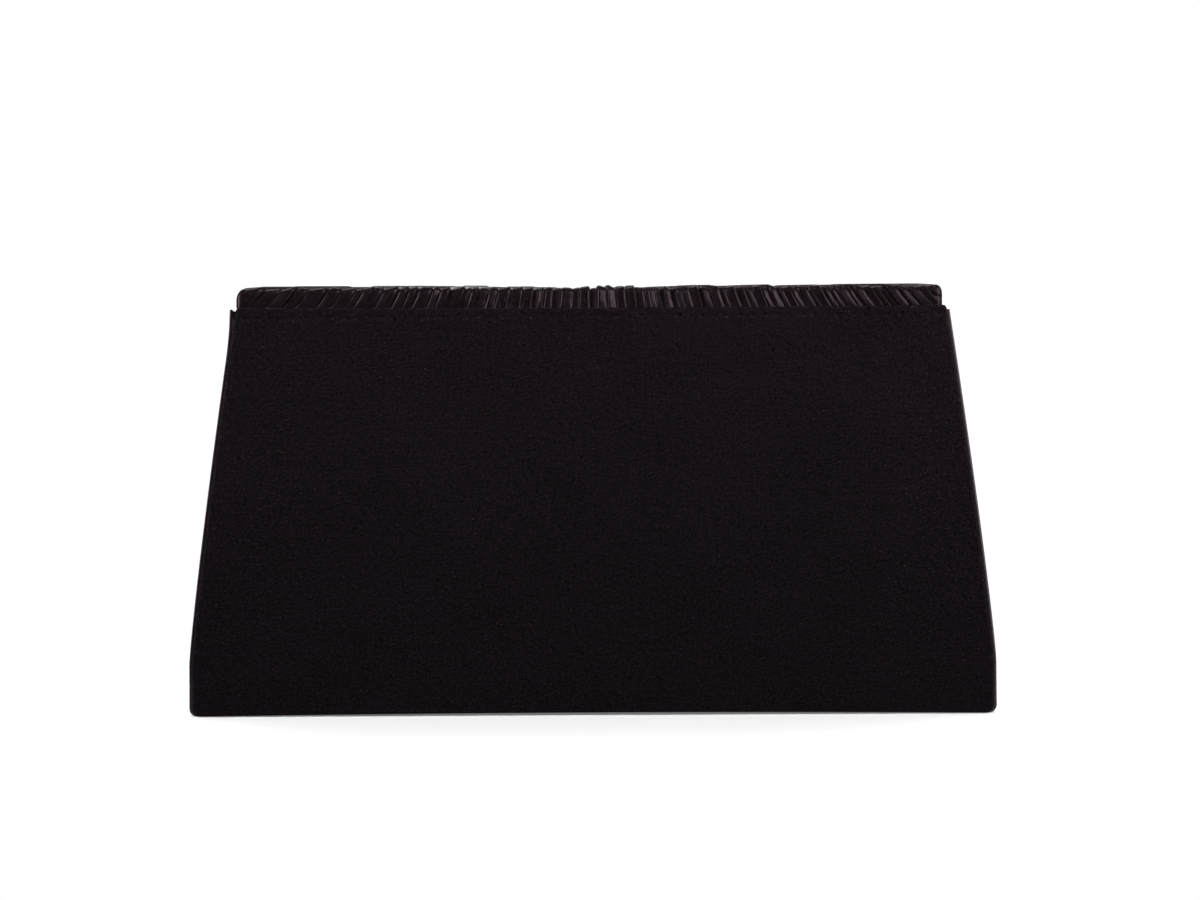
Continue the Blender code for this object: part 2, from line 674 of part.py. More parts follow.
def make_flap_cover(roll):
    """The fan: pleats that run in from the fold and the edges to the gather, and a turned edge."""
    middle = Vector((0, GATHER_UP))
    valley = FLAP_THICK - PLEAT_DEPTH
    rim = flap_rim(roll, 0)

    def fan_loop(share, rise):
        """The fan's points a share of the way in, with the crests at a share of their full height."""
        loop = []
        for index, (x, up, height) in enumerate(rim):
            below_roll = min(index, len(rim) - index) > ROLL_PLEATS
            crest = height / EDGE_CREST if below_roll and share else height
            start = Vector((x, up))
            end = middle + GATHER_RADIUS * (start - middle).normalized()
            place = start.lerp(end, share)
            level = valley + PLEAT_DEPTH * crest * rise
            loop.append(FRONT.at(place.x, place.y, -FLAP_GAP - level))
        return loop

    def edge_loop(inset, level):
        return [FRONT.at(x, up, -FLAP_GAP - level) for x, up, _ in flap_rim(roll, inset)]

    fan = [fan_loop(1, 0), fan_loop(FAN_SINK, FAN_SUNK_HEIGHT), fan_loop(FAN_FULL, 1), fan_loop(0, 1)]
    turned_edge = [edge_loop(0, 0), edge_loop(SATIN, 0), edge_loop(SATIN, FLAP_INNER)]
    return loft(fan + turned_edge)


def make_gather_tab():
    """A soft oval pad over the gather."""
    base = FLAP_GAP + FLAP_THICK - PLEAT_DEPTH + CLEAR
    turns = [2 * math.pi * i / TAB_SIDES for i in range(TAB_SIDES)]
    loops = []
    for lean in spaced(0, math.pi / 2, TAB_STEPS):
        size = TAB_CROWN + (1 - TAB_CROWN) * math.cos(lean)
        level = base + TAB_THICK * math.sin(lean)
        loop = []
        for turn in turns:
            x = size * TAB_HALF_WIDTH * math.cos(turn)
            up = GATHER_UP + size * TAB_HALF_HEIGHT * math.sin(turn)
            loop.append(FRONT.at(x, up, -level))
        loops.append(loop)
    return loft(loops)


def make_flap(purse, roll, roll_axis, snap):
    axis = purse.axis("flap_fold_axis", roll.fold, roll_axis)
    smooth(purse.add("flap_cover", make_flap_cover(roll), purse.pleats, axis))
    smooth(purse.add("gather_tab", make_gather_tab(), purse.satin, axis))
    top = roll.fold_up - CLEAR / 2 - POCKET_GAP
    side_gap = GUSSET_REVEAL + FLAP_SIDE_INSET + POCKET_GAP
    layer = panel_outline(FLAP_LOW + POCKET_GAP, top, side_gap, FLAP_CORNER - POCKET_GAP, TOP_RADIUS)

    def plate(near, thick):
        return wall_plate(FRONT, layer, -FLAP_GAP - near, -FLAP_GAP - near - thick)

    board_near = LINING + CLEAR
    washer_near = board_near + FLAP_BOARD + CLEAR
    lining = purse.add("flap_lining", plate(0, LINING), purse.lining, axis)
    board = purse.add("flap_board", plate(board_near, FLAP_BOARD), purse.board, axis)
    wadding = purse.add("flap_wadding", plate(washer_near, WADDING), purse.wadding, axis)

    washer_low = FLAP_GAP + washer_near
    washer_high = washer_low + WASHER_THICK
    ring = ring_profile(WASHER_HOLE_RADIUS, WASHER_RADIUS, washer_low, washer_high)
    washer = purse.add("stud_washer", snap.place(turned(ring, True)), purse.metal, axis)
    slots = slot_pair(FLAP_GAP - CUT_OVERLAP, washer_high + CUT_OVERLAP)
    slot_cutter = purse.helper("stud_slots", snap.place(slots), axis)
    for cut_through in (lining, board, washer):
        combine(cut_through, "DIFFERENCE", slot_cutter)
    hole = disc_profile(WASHER_RADIUS + CLEAR, washer_low - CUT_OVERLAP, washer_high + WADDING)
    combine(wadding, "DIFFERENCE", purse.helper("stud_well", snap.place(turned(hole)), axis))

    disc_low = FLAP_GAP - CLEAR - STUD_DISC
    stud = [
        (STUD_TIP_RADIUS, disc_low - STUD_POST_LENGTH),
        (STUD_POST_RADIUS, disc_low - STUD_POST_LENGTH / 2),
        (STUD_POST_RADIUS, disc_low),
        (STUD_RADIUS, disc_low),
        (STUD_RADIUS, FLAP_GAP - CLEAR),
    ]
    body = purse.add("snap_stud", snap.place(turned(stud)), purse.metal, axis)
    smooth(body)
    foot_near = washer_high + CLEAR
    prongs = prong_pair(FLAP_GAP - CLEAR - STUD_DISC / 2, foot_near, foot_near + PRONG_THICK)
    combine(body, "UNION", purse.helper("stud_prongs", snap.place(prongs), axis))


def main():
    for old in list(bpy.data.objects):
        bpy.data.objects.remove(old)
    purse = Purse()
    roll = Roll()
    snap = Snap(GATHER_UP)
    make_back_wall(purse)
    make_base(purse)
    make_gussets(purse)
    make_front_wall(purse, snap)
    roll_axis = make_roll(purse, roll)
    make_flap(purse, roll, roll_axis, snap)
    purse.centre()


main()
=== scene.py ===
"""Looks of a black satin clutch purse with a fan-pleated flap, built on the frame of its CAD part.

Every cloth is a mesh made here from the part's own sizes. Lengths are in metres, angles in radians.
"""

import math

import bmesh
import bpy
import numpy as np
from mathutils import Euler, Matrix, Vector


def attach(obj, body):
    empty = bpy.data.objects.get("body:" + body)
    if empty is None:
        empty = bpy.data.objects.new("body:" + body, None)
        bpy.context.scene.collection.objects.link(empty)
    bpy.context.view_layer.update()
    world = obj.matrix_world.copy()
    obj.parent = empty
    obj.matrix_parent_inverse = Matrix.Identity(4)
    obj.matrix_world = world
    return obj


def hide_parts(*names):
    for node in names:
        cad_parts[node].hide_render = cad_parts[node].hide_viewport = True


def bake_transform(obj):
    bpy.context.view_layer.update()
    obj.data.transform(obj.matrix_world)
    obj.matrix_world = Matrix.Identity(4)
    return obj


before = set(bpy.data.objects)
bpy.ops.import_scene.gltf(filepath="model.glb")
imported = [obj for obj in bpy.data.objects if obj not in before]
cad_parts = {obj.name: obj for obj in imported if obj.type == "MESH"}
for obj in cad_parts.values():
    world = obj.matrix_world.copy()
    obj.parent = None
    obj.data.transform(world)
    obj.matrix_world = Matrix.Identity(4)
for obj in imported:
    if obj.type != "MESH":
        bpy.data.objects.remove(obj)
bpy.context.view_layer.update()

MM = 0.001
RNG = np.random.default_rng(20)

# Sizes of the part
BASE_WIDTH = 264 * MM
TOP_WIDTH = 234.6 * MM
HEM_HEIGHT = 133.3 * MM
WIDEST_HEIGHT = 17 * MM
SIDE_BOW = 1.15
FOOT_RADIUS = 2.6 * MM
REVEAL = 1.1 * MM
CLEAR = 0.3 * MM
SATIN = 0.6 * MM
LINING = 0.5 * MM
BACK_FOOT_Y = -22.36025 * MM
BACK_LEAN = 8.8 * MM
BACK_THICK = 3.1 * MM
BACK_LOW = 0.205 * MM
BACK_TOP = 133.59 * MM
FRONT_FOOT_Y = 12.03975 * MM
FRONT_LEAN = 4.1 * MM
FRONT_THICK = 4.5 * MM
FRONT_LOW = 0.531 * MM
FRONT_TOP = 130.56 * MM
BASE_THICK = 3.1 * MM
FLAP_THICK = 5.6 * MM
FLAP_LOW = 16 * MM
FLAP_CORNER = 14 * MM
FLAP_INSET = 2.3 * MM
FOLD_UP = 132.966 * MM
RIDGE_Z = 140 * MM
ROLL_THICK = 3.8 * MM
ROLL_RISE = 1.73 * MM
BACK_ROLL = 5 * MM
FRONT_ROLL = 7 * MM
HINGE_Y = -12.538 * MM
HINGE_Z = 133.6 * MM
FOLD_Y = 17.997 * MM
PLEAT_DEPTH = 1.3 * MM
GATHER_UP = 32.44 * MM
FACING_HEIGHT = 10 * MM
FRONT_FACING_HEIGHT = 11 * MM
GUSSET_FOLD = 7 * MM
GUSSET_DROP = 1.5 * MM
FRONT_DROP = 2.8 * MM
POCKET_WIDTH = 120 * MM
POCKET_HEIGHT = 70 * MM
POCKET_LOW = 35 * MM


def ease(value):
    """Smooth step from 0 to 1."""
    held = np.clip(value, 0.0, 1.0)
    return held * held * (3 - 2 * held)


def side_half_width(up):
    """Half the width over the gussets at a height."""
    up = np.asarray(up, float)
    share = np.clip((up - WIDEST_HEIGHT) / (HEM_HEIGHT - WIDEST_HEIGHT), 0.0, None)
    half = BASE_WIDTH / 2 - (BASE_WIDTH - TOP_WIDTH) / 2 * share**SIDE_BOW
    below = np.clip(FOOT_RADIUS - up, 0.0, FOOT_RADIUS)
    return half - FOOT_RADIUS + np.sqrt(FOOT_RADIUS**2 - below**2)


def cover_half(up):
    """Half the width of a wall's cover at a height."""
    return side_half_width(np.clip(up, FOOT_RADIUS, None)) - REVEAL


class Wall:
    """A leaning wall: up runs along it from the floor, depth from its outer face into the purse."""

    def __init__(self, foot_y, lean, inward):
        long = math.hypot(lean, HEM_HEIGHT)
        self.foot_y = foot_y
        self.up = (inward * lean / long, HEM_HEIGHT / long)
        self.inward = (inward * self.up[1], -inward * self.up[0])

    def at(self, across, up, depth):
        across, up, depth = np.broadcast_arrays(across, up, depth)
        y = self.foot_y + up * self.up[0] + depth * self.inward[0]
        z = up * self.up[1] + depth * self.inward[1]
        return np.stack([across, y, z], -1)

    def y_at(self, z, depth):
        up = (z - depth * self.inward[1]) / self.up[1]
        return self.foot_y + up * self.up[0] + depth * self.inward[0]


BACK = Wall(BACK_FOOT_Y, BACK_LEAN, 1)
FRONT = Wall(FRONT_FOOT_Y, FRONT_LEAN, -1)


# Mesh building

WELD = 2e-6
CLOTH_THICK = 0.3 * MM
PLEAT_THICK = 0.25 * MM
SHARP = 50.0
PLEAT_SHARP = 65.0


class Cloth:
    """Gathers grids of points into one mesh; its UV map "cloth" holds their places on the flat cloth."""

    def __init__(self):
        self.points = []
        self.flat = []
        self.faces = []
        self.count = 0

    def grid(self, points, flat, around=False):
        rows, columns = points.shape[:2]
        row = np.arange(rows - 1)[:, None]
        column = np.arange(columns if around else columns - 1)
        first = self.count + row * columns + column
        second = self.count + row * columns + (column + 1) % columns
        corners = [first, second, second + columns, first + columns]
        self.faces.append(np.stack(corners, -1).reshape(-1, 4))
        self.points.append(points.reshape(-1, 3))
        self.flat.append(np.broadcast_to(flat, (rows, columns, 2)).reshape(-1, 2))
        self.count += rows * columns
        return self

    def piece(self, name, material, slot, faces_to, thickness=CLOTH_THICK, sharp=SHARP):
        """The object: welded, turned to face faces_to, thickened away from that side, smooth."""
        mesh = bpy.data.meshes.new(name)
        points = np.concatenate(self.points)
        faces = np.concatenate(self.faces)
        mesh.from_pydata(points.tolist(), [], faces.tolist())
        layer = mesh.uv_layers.new(name="cloth")
        layer.data.foreach_set("uv", np.concatenate(self.flat)[faces.ravel()].ravel())
        work = bmesh.new()
        work.from_mesh(mesh)
        bmesh.ops.remove_doubles(work, verts=work.verts, dist=WELD)
        bmesh.ops.dissolve_degenerate(work, edges=work.edges, dist=WELD)
        bmesh.ops.recalc_face_normals(work, faces=work.faces)
        total = sum((face.normal * face.calc_area() for face in work.faces), Vector())
        if total.dot(Vector(faces_to)) < 0:
            bmesh.ops.reverse_faces(work, faces=work.faces)
        work.to_mesh(mesh)
        work.free()
        obj = new_object(name, mesh)
        if thickness:
            solidify = obj.modifiers.new("thickness", "SOLIDIFY")
            solidify.thickness = thickness
            solidify.offset = -1
            settle(obj)
        obj.data.shade_smooth()
        obj.data.set_sharp_from_angle(angle=math.radians(sharp))
        paint(obj, material)
        return obj


def new_object(name, data):
    """An object in the scene."""
    obj = bpy.data.objects.new(name, data)
    bpy.context.collection.objects.link(obj)
    return obj


def settle(obj):
    """Applies an object's modifiers to its mesh."""
    graph = bpy.context.evaluated_depsgraph_get()
    mesh = bpy.data.meshes.new_from_object(obj.evaluated_get(graph))
    obj.modifiers.clear()
    obj.data = mesh


def paint(obj, material):
    obj.data.materials.clear()
    obj.data.materials.append(material)


def soften(obj, width, segments):
    """Rounds an object's edges with a bevel."""
    bevel = obj.modifiers.new("soft edge", "BEVEL")
    bevel.width = width
    bevel.segments = segments
    bevel.limit_method = "ANGLE"


WAVE_COUNT = 7
WAVE_PER_METRE = 130.0


def waves(across, up, size, seed):
    """A few slow waves over a cloth, for the small unevenness of hand-laid cloth."""
    source = np.random.default_rng(seed)
    total = 0.0
    for _ in range(WAVE_COUNT):
        along = source.uniform(-1, 1) * WAVE_PER_METRE
        upward = source.uniform(-1, 1) * WAVE_PER_METRE
        total = total + np.sin(across * along + up * upward + source.uniform(0, 2 * math.pi))
    return size * total / WAVE_COUNT


def spread(count, bunch):
    """Numbers from -1 to 1, bunched towards both ends."""
    even = np.linspace(-1, 1, count)
    return (1 - bunch) * even + bunch * np.sin(even * math.pi / 2)


def outward(along):
    """Unit normals on the right of a line's directions."""
    out = np.stack([along[:, 1], -along[:, 0]], -1)
    return out / np.linalg.norm(out, axis=1, keepdims=True)


def runs(*parts):
    """Rising numbers in even runs, each given by its start, end and count."""
    return np.unique(np.concatenate([np.linspace(*part) for part in parts]))


def arc_steps(count):
    """Steps from 0 to 1 up a quarter circle, closest together at the start."""
    return 1 - np.cos(np.linspace(0, math.pi / 2, count))


def stretched(obj, body, node):
    """Says that a cloth is stretched over a body and stands in for a CAD node."""
    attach(obj, body)
    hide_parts(node)


def bent(obj, nodes):
    """Hides the CAD nodes that a cloth stands in for, and bakes the cloth's transform into its mesh."""
    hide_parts(*nodes)
    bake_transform(obj)


# Materials


class Nodes:
    """Shorthand for building the nodes of a material or of the surroundings."""

    def __init__(self, owner):
        owner.use_nodes = True
        self.owner = owner
        self.tree = owner.node_tree
        self.shader = self.tree.nodes.get("Principled BSDF")

    def fill(self, socket, value):
        """Sets an input to a value, or links it to another node's output."""
        if isinstance(value, bpy.types.NodeSocket):
            self.tree.links.new(value, socket)
        else:
            socket.default_value = value

    def add(self, kind, inputs=None, **settings):
        node = self.tree.nodes.new("ShaderNode" + kind)
        for name, value in settings.items():
            setattr(node, name, value)
        for name, value in (inputs or {}).items():
            self.fill(node.inputs[name], value)
        return node

    def set(self, **values):
        """Sets inputs of the surface's shader."""
        for name, value in values.items():
            self.fill(self.shader.inputs[name.replace("_", " ")], value)

    def noise(self, place, scale, detail=2.0, roughness=0.5):
        """Noise over a place, with its own scale along each axis."""
        stretched_place = self.add("Mapping", {"Vector": place, "Scale": scale}).outputs["Vector"]
        look = {"Scale": 1.0, "Detail": detail, "Roughness": roughness}
        return self.add("TexNoise", {"Vector": stretched_place, **look}).outputs["Fac"]

    def range(self, value, low, high, to_low, to_high):
        ends = {"From Min": low, "From Max": high, "To Min": to_low, "To Max": to_high}
        return self.add("MapRange", {"Value": value, **ends}).outputs["Result"]

    def math(self, how, first, second):
        return self.add("Math", {0: first, 1: second}, operation=how).outputs["Value"]

    def weighted(self, *parts):
        """Sum of values, each times its weight."""
        total = None
        for value, weight in parts:
            term = self.math("MULTIPLY", value, weight)
            total = term if total is None else self.math("ADD", total, term)
        return total

    def between(self, value, low, high):
        """A colour between two colours."""
        node = self.add("Mix", {"Factor": value}, data_type="RGBA", clamp_factor=False)
        for socket, shade in zip([s for s in node.inputs if s.type == "RGBA"], (low, high)):
            socket.default_value = (*shade, 1.0)
        return next(s for s in node.outputs if s.type == "RGBA")

    def bump(self, height, strength, distance):
        node = self.add("Bump", {"Height": height, "Strength": strength, "Distance": distance})
        self.set(Normal=node.outputs["Normal"])

    def mix(self, share, first, second):
        """Sends a mix of two shaders to the output."""
        node = self.add("MixShader", {"Fac": share, 1: first, 2: second})
        output = next(other for other in self.tree.nodes if other.type.startswith("OUTPUT"))
        self.fill(output.inputs["Surface"], node.outputs["Shader"])


# Noise of the cloths, in cells per metre across and along the cloth
SLUB = (330.0, 4200.0, 1.0)
LONG_SLUB = (26.0, 2400.0, 1.0)
GRAIN = (1700.0, 1900.0, 1.0)
GLINT = (1300.0, 1500.0, 1.0)
TWILL = (760.0, 2600.0, 1.0)
TWILL_TURN = math.radians(-38)
SATIN_MOTTLE = (34.0, 42.0, 1.0)
WARP = (4200.0, 260.0, 1.0)
WEFT = (260.0, 4200.0, 1.0)
LINING_MOTTLE = (30.0, 30.0, 1.0)
THREAD_HEIGHT = 0.1 * MM


def satin(name, dark, light, tint, rough, sheen, gloss):
    """Satin: fine grain, slubs along the width, a faint diagonal, slow mottling and a few painted glints."""
    nodes = Nodes(bpy.data.materials.new(name))
    place = nodes.add("UVMap", uv_map="cloth").outputs["UV"]
    slub = nodes.noise(place, SLUB, detail=3.0, roughness=0.6)
    long_slub = nodes.noise(place, LONG_SLUB)
    grain = nodes.noise(place, GRAIN, roughness=0.6)
    mottle = nodes.noise(place, SATIN_MOTTLE, detail=3.0, roughness=0.55)
    twist = nodes.add("Mapping", {"Vector": place, "Rotation": (0.0, 0.0, TWILL_TURN)})
    twill = nodes.noise(twist.outputs["Vector"], TWILL)
    threads = nodes.weighted((slub, 0.15), (twill, 0.5), (grain, 0.35))
    tone = nodes.weighted((threads, 0.9), (mottle, 0.04), (long_slub, 0.06))
    tone = nodes.range(tone, 0.43, 0.59, 0.0, 1.15)
    # painted glints: bright specks of highlight added to the base colour
    glint = nodes.range(nodes.noise(place, GLINT, detail=1.0), 0.64, 0.76, 0.0, 2.4)
    nodes.set(Base_Color=nodes.between(nodes.math("ADD", tone, glint), dark, light))
    nodes.set(Roughness=nodes.range(threads, 0.35, 0.65, rough + 0.05, rough - 0.05))
    nodes.set(Specular_IOR_Level=gloss, Sheen_Weight=sheen, Sheen_Roughness=0.42)
    nodes.set(Sheen_Tint=(*tint, 1.0), Specular_Tint=(*tint, 1.0))
    nodes.bump(threads, 0.26, THREAD_HEIGHT)
    return nodes.owner


def plain_cloth(name, dark, light, rough, gloss):
    """Plain-woven lining: a close grid of threads."""
    nodes = Nodes(bpy.data.materials.new(name))
    place = nodes.add("UVMap", uv_map="cloth").outputs["UV"]
    threads = nodes.weighted((nodes.noise(place, WARP), 0.5), (nodes.noise(place, WEFT), 0.5))
    mottle = nodes.noise(place, LINING_MOTTLE, detail=3.0, roughness=0.55)
    tone = nodes.weighted((threads, 0.7), (mottle, 0.3))
    nodes.set(Base_Color=nodes.between(nodes.range(tone, 0.36, 0.64, 0.0, 1.0), dark, light))
    nodes.set(Roughness=rough, Specular_IOR_Level=gloss, Sheen_Weight=0.05, Sheen_Roughness=0.5)
    nodes.bump(threads, 0.5, THREAD_HEIGHT)
    return nodes.owner


def solid(name, dark, light, rough, scale, bump, gloss=0.5, metal=0.0):
    """A hard or felted material with grain of its own along the object's axes."""
    nodes = Nodes(bpy.data.materials.new(name))
    grain = nodes.noise(nodes.add("TexCoord").outputs["Object"], scale, detail=4.0, roughness=0.6)
    nodes.set(Base_Color=nodes.between(nodes.range(grain, 0.3, 0.7, 0.0, 1.0), dark, light))
    nodes.set(Roughness=nodes.range(grain, 0.3, 0.7, rough + 0.06, rough - 0.06))
    nodes.set(Metallic=metal, Specular_IOR_Level=gloss)
    nodes.bump(grain, 0.5, bump)
    return nodes.owner


SATIN_DARK = (0.0004, 0.00025, 0.00035)
PLAIN_LIGHT = (0.0050, 0.0034, 0.0044)
FOLD_LIGHT = (0.0042, 0.0027, 0.0035)
PLAIN_TINT = (1.0, 0.84, 0.95)
PLEAT_TINT = (1.0, 0.70, 0.84)
GUSSET_TINT = (1.0, 0.78, 0.86)
PLAIN_SATIN = satin("plain_satin", SATIN_DARK, PLAIN_LIGHT, PLAIN_TINT, rough=0.5, sheen=0.008, gloss=0.025)
PLEAT_SATIN = satin("pleat_satin", SATIN_DARK, FOLD_LIGHT, PLEAT_TINT, rough=0.29, sheen=0.025, gloss=0.115)
GUSSET_SATIN = satin("gusset_satin", SATIN_DARK, FOLD_LIGHT, GUSSET_TINT, rough=0.29, sheen=0.05, gloss=0.3)
LINING_CLOTH = plain_cloth("lining_cloth", (0.0060, 0.0050, 0.0056), (0.0135, 0.0115, 0.0125), 0.6, 0.2)
THREAD = solid(
    "thread", (0.0012, 0.0008, 0.0010), (0.0075, 0.0050, 0.0062), 0.5, (9000.0,) * 3, 0.05 * MM, gloss=0.08
)
BOARD = solid("greyboard", (0.23, 0.185, 0.13), (0.37, 0.31, 0.24), 0.85, (420.0,) * 3, 0.1 * MM, gloss=0.25)
WADDING = solid("wadding", (0.62, 0.61, 0.58), (0.82, 0.81, 0.78), 0.95, (900.0,) * 3, 0.3 * MM, gloss=0.1)
BRUSHED = (2600.0, 300.0, 2600.0)
NICKEL = solid("nickel_plate", (0.34, 0.33, 0.31), (0.46, 0.45, 0.42), 0.34, BRUSHED, 0.01 * MM, metal=1.0)
FERRITE = solid(
    "ferrite", (0.030, 0.030, 0.034), (0.060, 0.060, 0.066), 0.55, (2400.0,) * 3, 0.04 * MM, gloss=0.4
)

METAL_EDGE = 0.15 * MM

for node in ("back_board", "base_board", "front_board", "flap_board"):
    paint(bpy.data.objects[node], BOARD)
for node in ("snap_cap", "snap_magnet", "snap_plate", "snap_washer", "snap_stud", "stud_washer"):
    paint(bpy.data.objects[node], FERRITE if node == "snap_magnet" else NICKEL)
    soften(bpy.data.objects[node], METAL_EDGE, 2)


# Covers and linings laid over flat panels

TURN = 0.3 * MM
QUARTER = np.linspace(0, math.pi / 2, 5)[1:]
CORNER_STEPS = 6
FACE_ROWS = 30
TOP_ROWS = MM * np.array(
    [7.0, 6.4, 5.8, 5.2, 4.7, 4.2, 3.8, 3.4, 3.0, 2.7, 2.4, 2.0, 1.6, 1.2, 0.8, 0.4, 0.0]
)
EDGE_ROUND = 0.9 * MM
EDGE_SHORT = 0.1 * MM
EDGE_TUCK = 0.4 * MM


def panel_rows(low, high):
    """Row heights of a panel: even over the face, close together by the top edge."""
    fine = high - TOP_ROWS
    return np.concatenate([np.linspace(low, fine[0], FACE_ROWS)[:-1], fine])


def panel(name, place, half, low, high, relief, thick, top_edge, columns, faces_to, shift=None):
    """A satin cover laid over a flat panel and turned round its edges.

    place gives its points, half its half width at a height, relief the depth of its face, and shift how far
    it is moved up. top_edge holds the top's radius, the depth turned over, and how far it goes in behind.
    """
    cloth = Cloth()
    top, top_thick, top_tuck = top_edge
    corner = FOOT_RADIUS - EDGE_ROUND
    arc = low + EDGE_ROUND + corner * arc_steps(CORNER_STEPS)
    rows = np.unique(np.concatenate([arc, panel_rows(low + EDGE_ROUND + corner, high - top)]))
    rise = np.clip(corner - (rows - low - EDGE_ROUND), 0, corner)
    reach = half(rows) - EDGE_ROUND - corner + np.sqrt(corner**2 - rise**2)
    x = reach[:, None] * np.linspace(-1, 1, columns)
    v = np.broadcast_to(rows[:, None], x.shape)
    depth = relief(x, v)
    moved = shift(x, v) if shift else 0.0
    cloth.grid(place(x, v + moved, depth), np.stack([x, v], -1))
    index = np.arange(x.size).reshape(x.shape)
    ring = np.concatenate([index[0], index[1:, -1], index[-1, -2::-1], index[-2:0:-1, 0]])
    loop = np.stack([x.ravel()[ring], v.ravel()[ring]], -1)
    lift = np.broadcast_to(moved, x.shape).ravel()[ring]
    base = depth.ravel()[ring]
    out = outward(np.roll(loop, -1, axis=0) - np.roll(loop, 1, axis=0))
    is_top = loop[:, 1] > high - top - WELD
    first = np.where(is_top, top, EDGE_ROUND)
    second = np.where(is_top, top, TURN)
    deep = np.where(is_top, top_thick, thick - EDGE_SHORT)
    behind = np.where(is_top, top_tuck, EDGE_TUCK)
    path = [(0 * first, base, 0 * first)]
    for angle in QUARTER:
        path.append((first * math.sin(angle), base + first * (1 - math.cos(angle)), first * angle))
    arc_end = first * math.pi / 2
    for angle in np.concatenate([[0.0], QUARTER]):
        off = first - second * (1 - math.cos(angle))
        path.append((off, deep - second * (1 - math.sin(angle)), arc_end + deep))
    path.append((first - second - behind, deep + 0 * first, arc_end + deep + behind))
    places = []
    flats = []
    for off, down, long in path:
        spot = loop + out * off[:, None]
        places.append(place(spot[:, 0], spot[:, 1] + lift, down))
        flats.append(loop + out * long[:, None])
    cloth.grid(np.stack(places), np.stack(flats), around=True)
    return cloth.piece(name, PLAIN_SATIN, "satin", faces_to)


WALL_COLUMNS = spread(81, 0.3)
LINING_STUFF = (LINING_CLOTH, "lining")
SATIN_STUFF = (PLAIN_SATIN, "satin")


def flat_cloth(name, place, half, rows, depth_of, faces_to, columns=WALL_COLUMNS, up=1, stuff=LINING_STUFF):
    """A cloth laid on a surface: place gives its points, half its half width at a row, depth_of its depth.

    up is -1 where the rows are counted down the cloth. stuff is the cloth's material and a slot name, which
    is not used.
    """
    x = half(rows)[:, None] * columns
    v = np.broadcast_to(rows[:, None], x.shape)
    cloth = Cloth().grid(place(x, v, depth_of(x, v)), np.stack([x, up * v], -1))
    return cloth.piece(name, *stuff, faces_to)


# Back wall, its hem and the topstitching

HEM_ROUND = 0.6 * MM
HEM_TURNED = 8 * MM
HEM_SAG = 0.45 * MM
SAG_START = 100 * MM
HEM_LIFT = 0.03 * MM
HEM_LIFT_OVER = 1.2 * MM
FOOT_ARCH = 0.75 * MM
ARCH_REACH = 18 * MM
UNEVEN = 0.12 * MM
PULL = 0.06 * MM
PULL_REACH = 4 * MM
STITCH_PITCH = 4.05 * MM
STITCH_DROP = 2.75 * MM
STITCH_TILT = 0.25 * MM
STITCH_BOW = 0.6 * MM
STITCH_DIP = 0.03 * MM
STITCH_DIP_HALF = 0.7 * MM
STITCH_MARGIN = 0.35 * MM
STITCH_REACH = TOP_WIDTH / 2 - 2.6 * MM
STITCHES = int(2 * STITCH_REACH / STITCH_PITCH)
NEEDLE_DIP = 0.62 * MM
NEEDLE_SIZE = 0.5 * MM
NEEDLE_HEIGHT = 0.45 * MM
NEEDLE_SCATTER = 0.12 * MM
EVEN_NEEDLES = (np.arange(STITCHES + 1) - STITCHES / 2) * STITCH_PITCH
NEEDLES = EVEN_NEEDLES + RNG.normal(0, NEEDLE_SCATTER, STITCHES + 1)


def stitch_up(across):
    """Height of the topstitching on the back wall: it wanders a little from the hem's edge."""
    share = across / (TOP_WIDTH / 2)
    return BACK_TOP - (STITCH_DROP - STITCH_TILT * share + STITCH_BOW * share**2)


def back_relief(across, up):
    """Depth of the back cover's face below its plane."""
    below = up - stitch_up(across)
    groove = STITCH_DIP * np.exp(-((below / STITCH_DIP_HALF) ** 2))
    after = np.searchsorted(NEEDLES, across.ravel()).reshape(across.shape)
    to_next = np.abs(across - NEEDLES[np.clip(after, 1, STITCHES)])
    to_last = np.abs(across - NEEDLES[np.clip(after - 1, 0, STITCHES)])
    gap = np.minimum(to_next, to_last)
    dimple = NEEDLE_DIP * np.exp(-((gap / NEEDLE_SIZE) ** 2) - (below / NEEDLE_HEIGHT) ** 2)
    fold = HEM_LIFT * ease(below / HEM_LIFT_OVER)
    pull = waves(across * 3, up, PULL, seed=3) * np.exp(-((below / PULL_REACH) ** 2))
    return groove + dimple - fold + pull + waves(across, up, UNEVEN, seed=5)


def back_shift(across, up):
    """The hem sags a little in the middle, and the foot is arched."""
    share = 1 - (across / (TOP_WIDTH / 2)) ** 2
    sag = HEM_SAG * np.clip(share, 0, 1) * ease((up - SAG_START) / (BACK_TOP - SAG_START))
    arch = FOOT_ARCH * np.clip(1 - (across / (BASE_WIDTH / 2)) ** 2, 0, 1) * ease(1 - up / ARCH_REACH)
    return arch - sag


shape = (BACK.at, cover_half, BACK_LOW, BACK_TOP, back_relief, BACK_THICK)
edge = (HEM_ROUND, 2 * SATIN, HEM_TURNED)
back_cover = panel("back_cover", *shape, edge, columns=461, faces_to=(0, -1, 0), shift=back_shift)
stretched(back_cover, "body", "back_panel")

STITCH_SCATTER = 0.05 * MM
THREAD_RADIUS = 0.11 * MM
THREAD_LIFT = 0.02 * MM
THREAD_BOW = 0.09 * MM
THREAD_SIDES = 8
THREAD_STEPS = 7


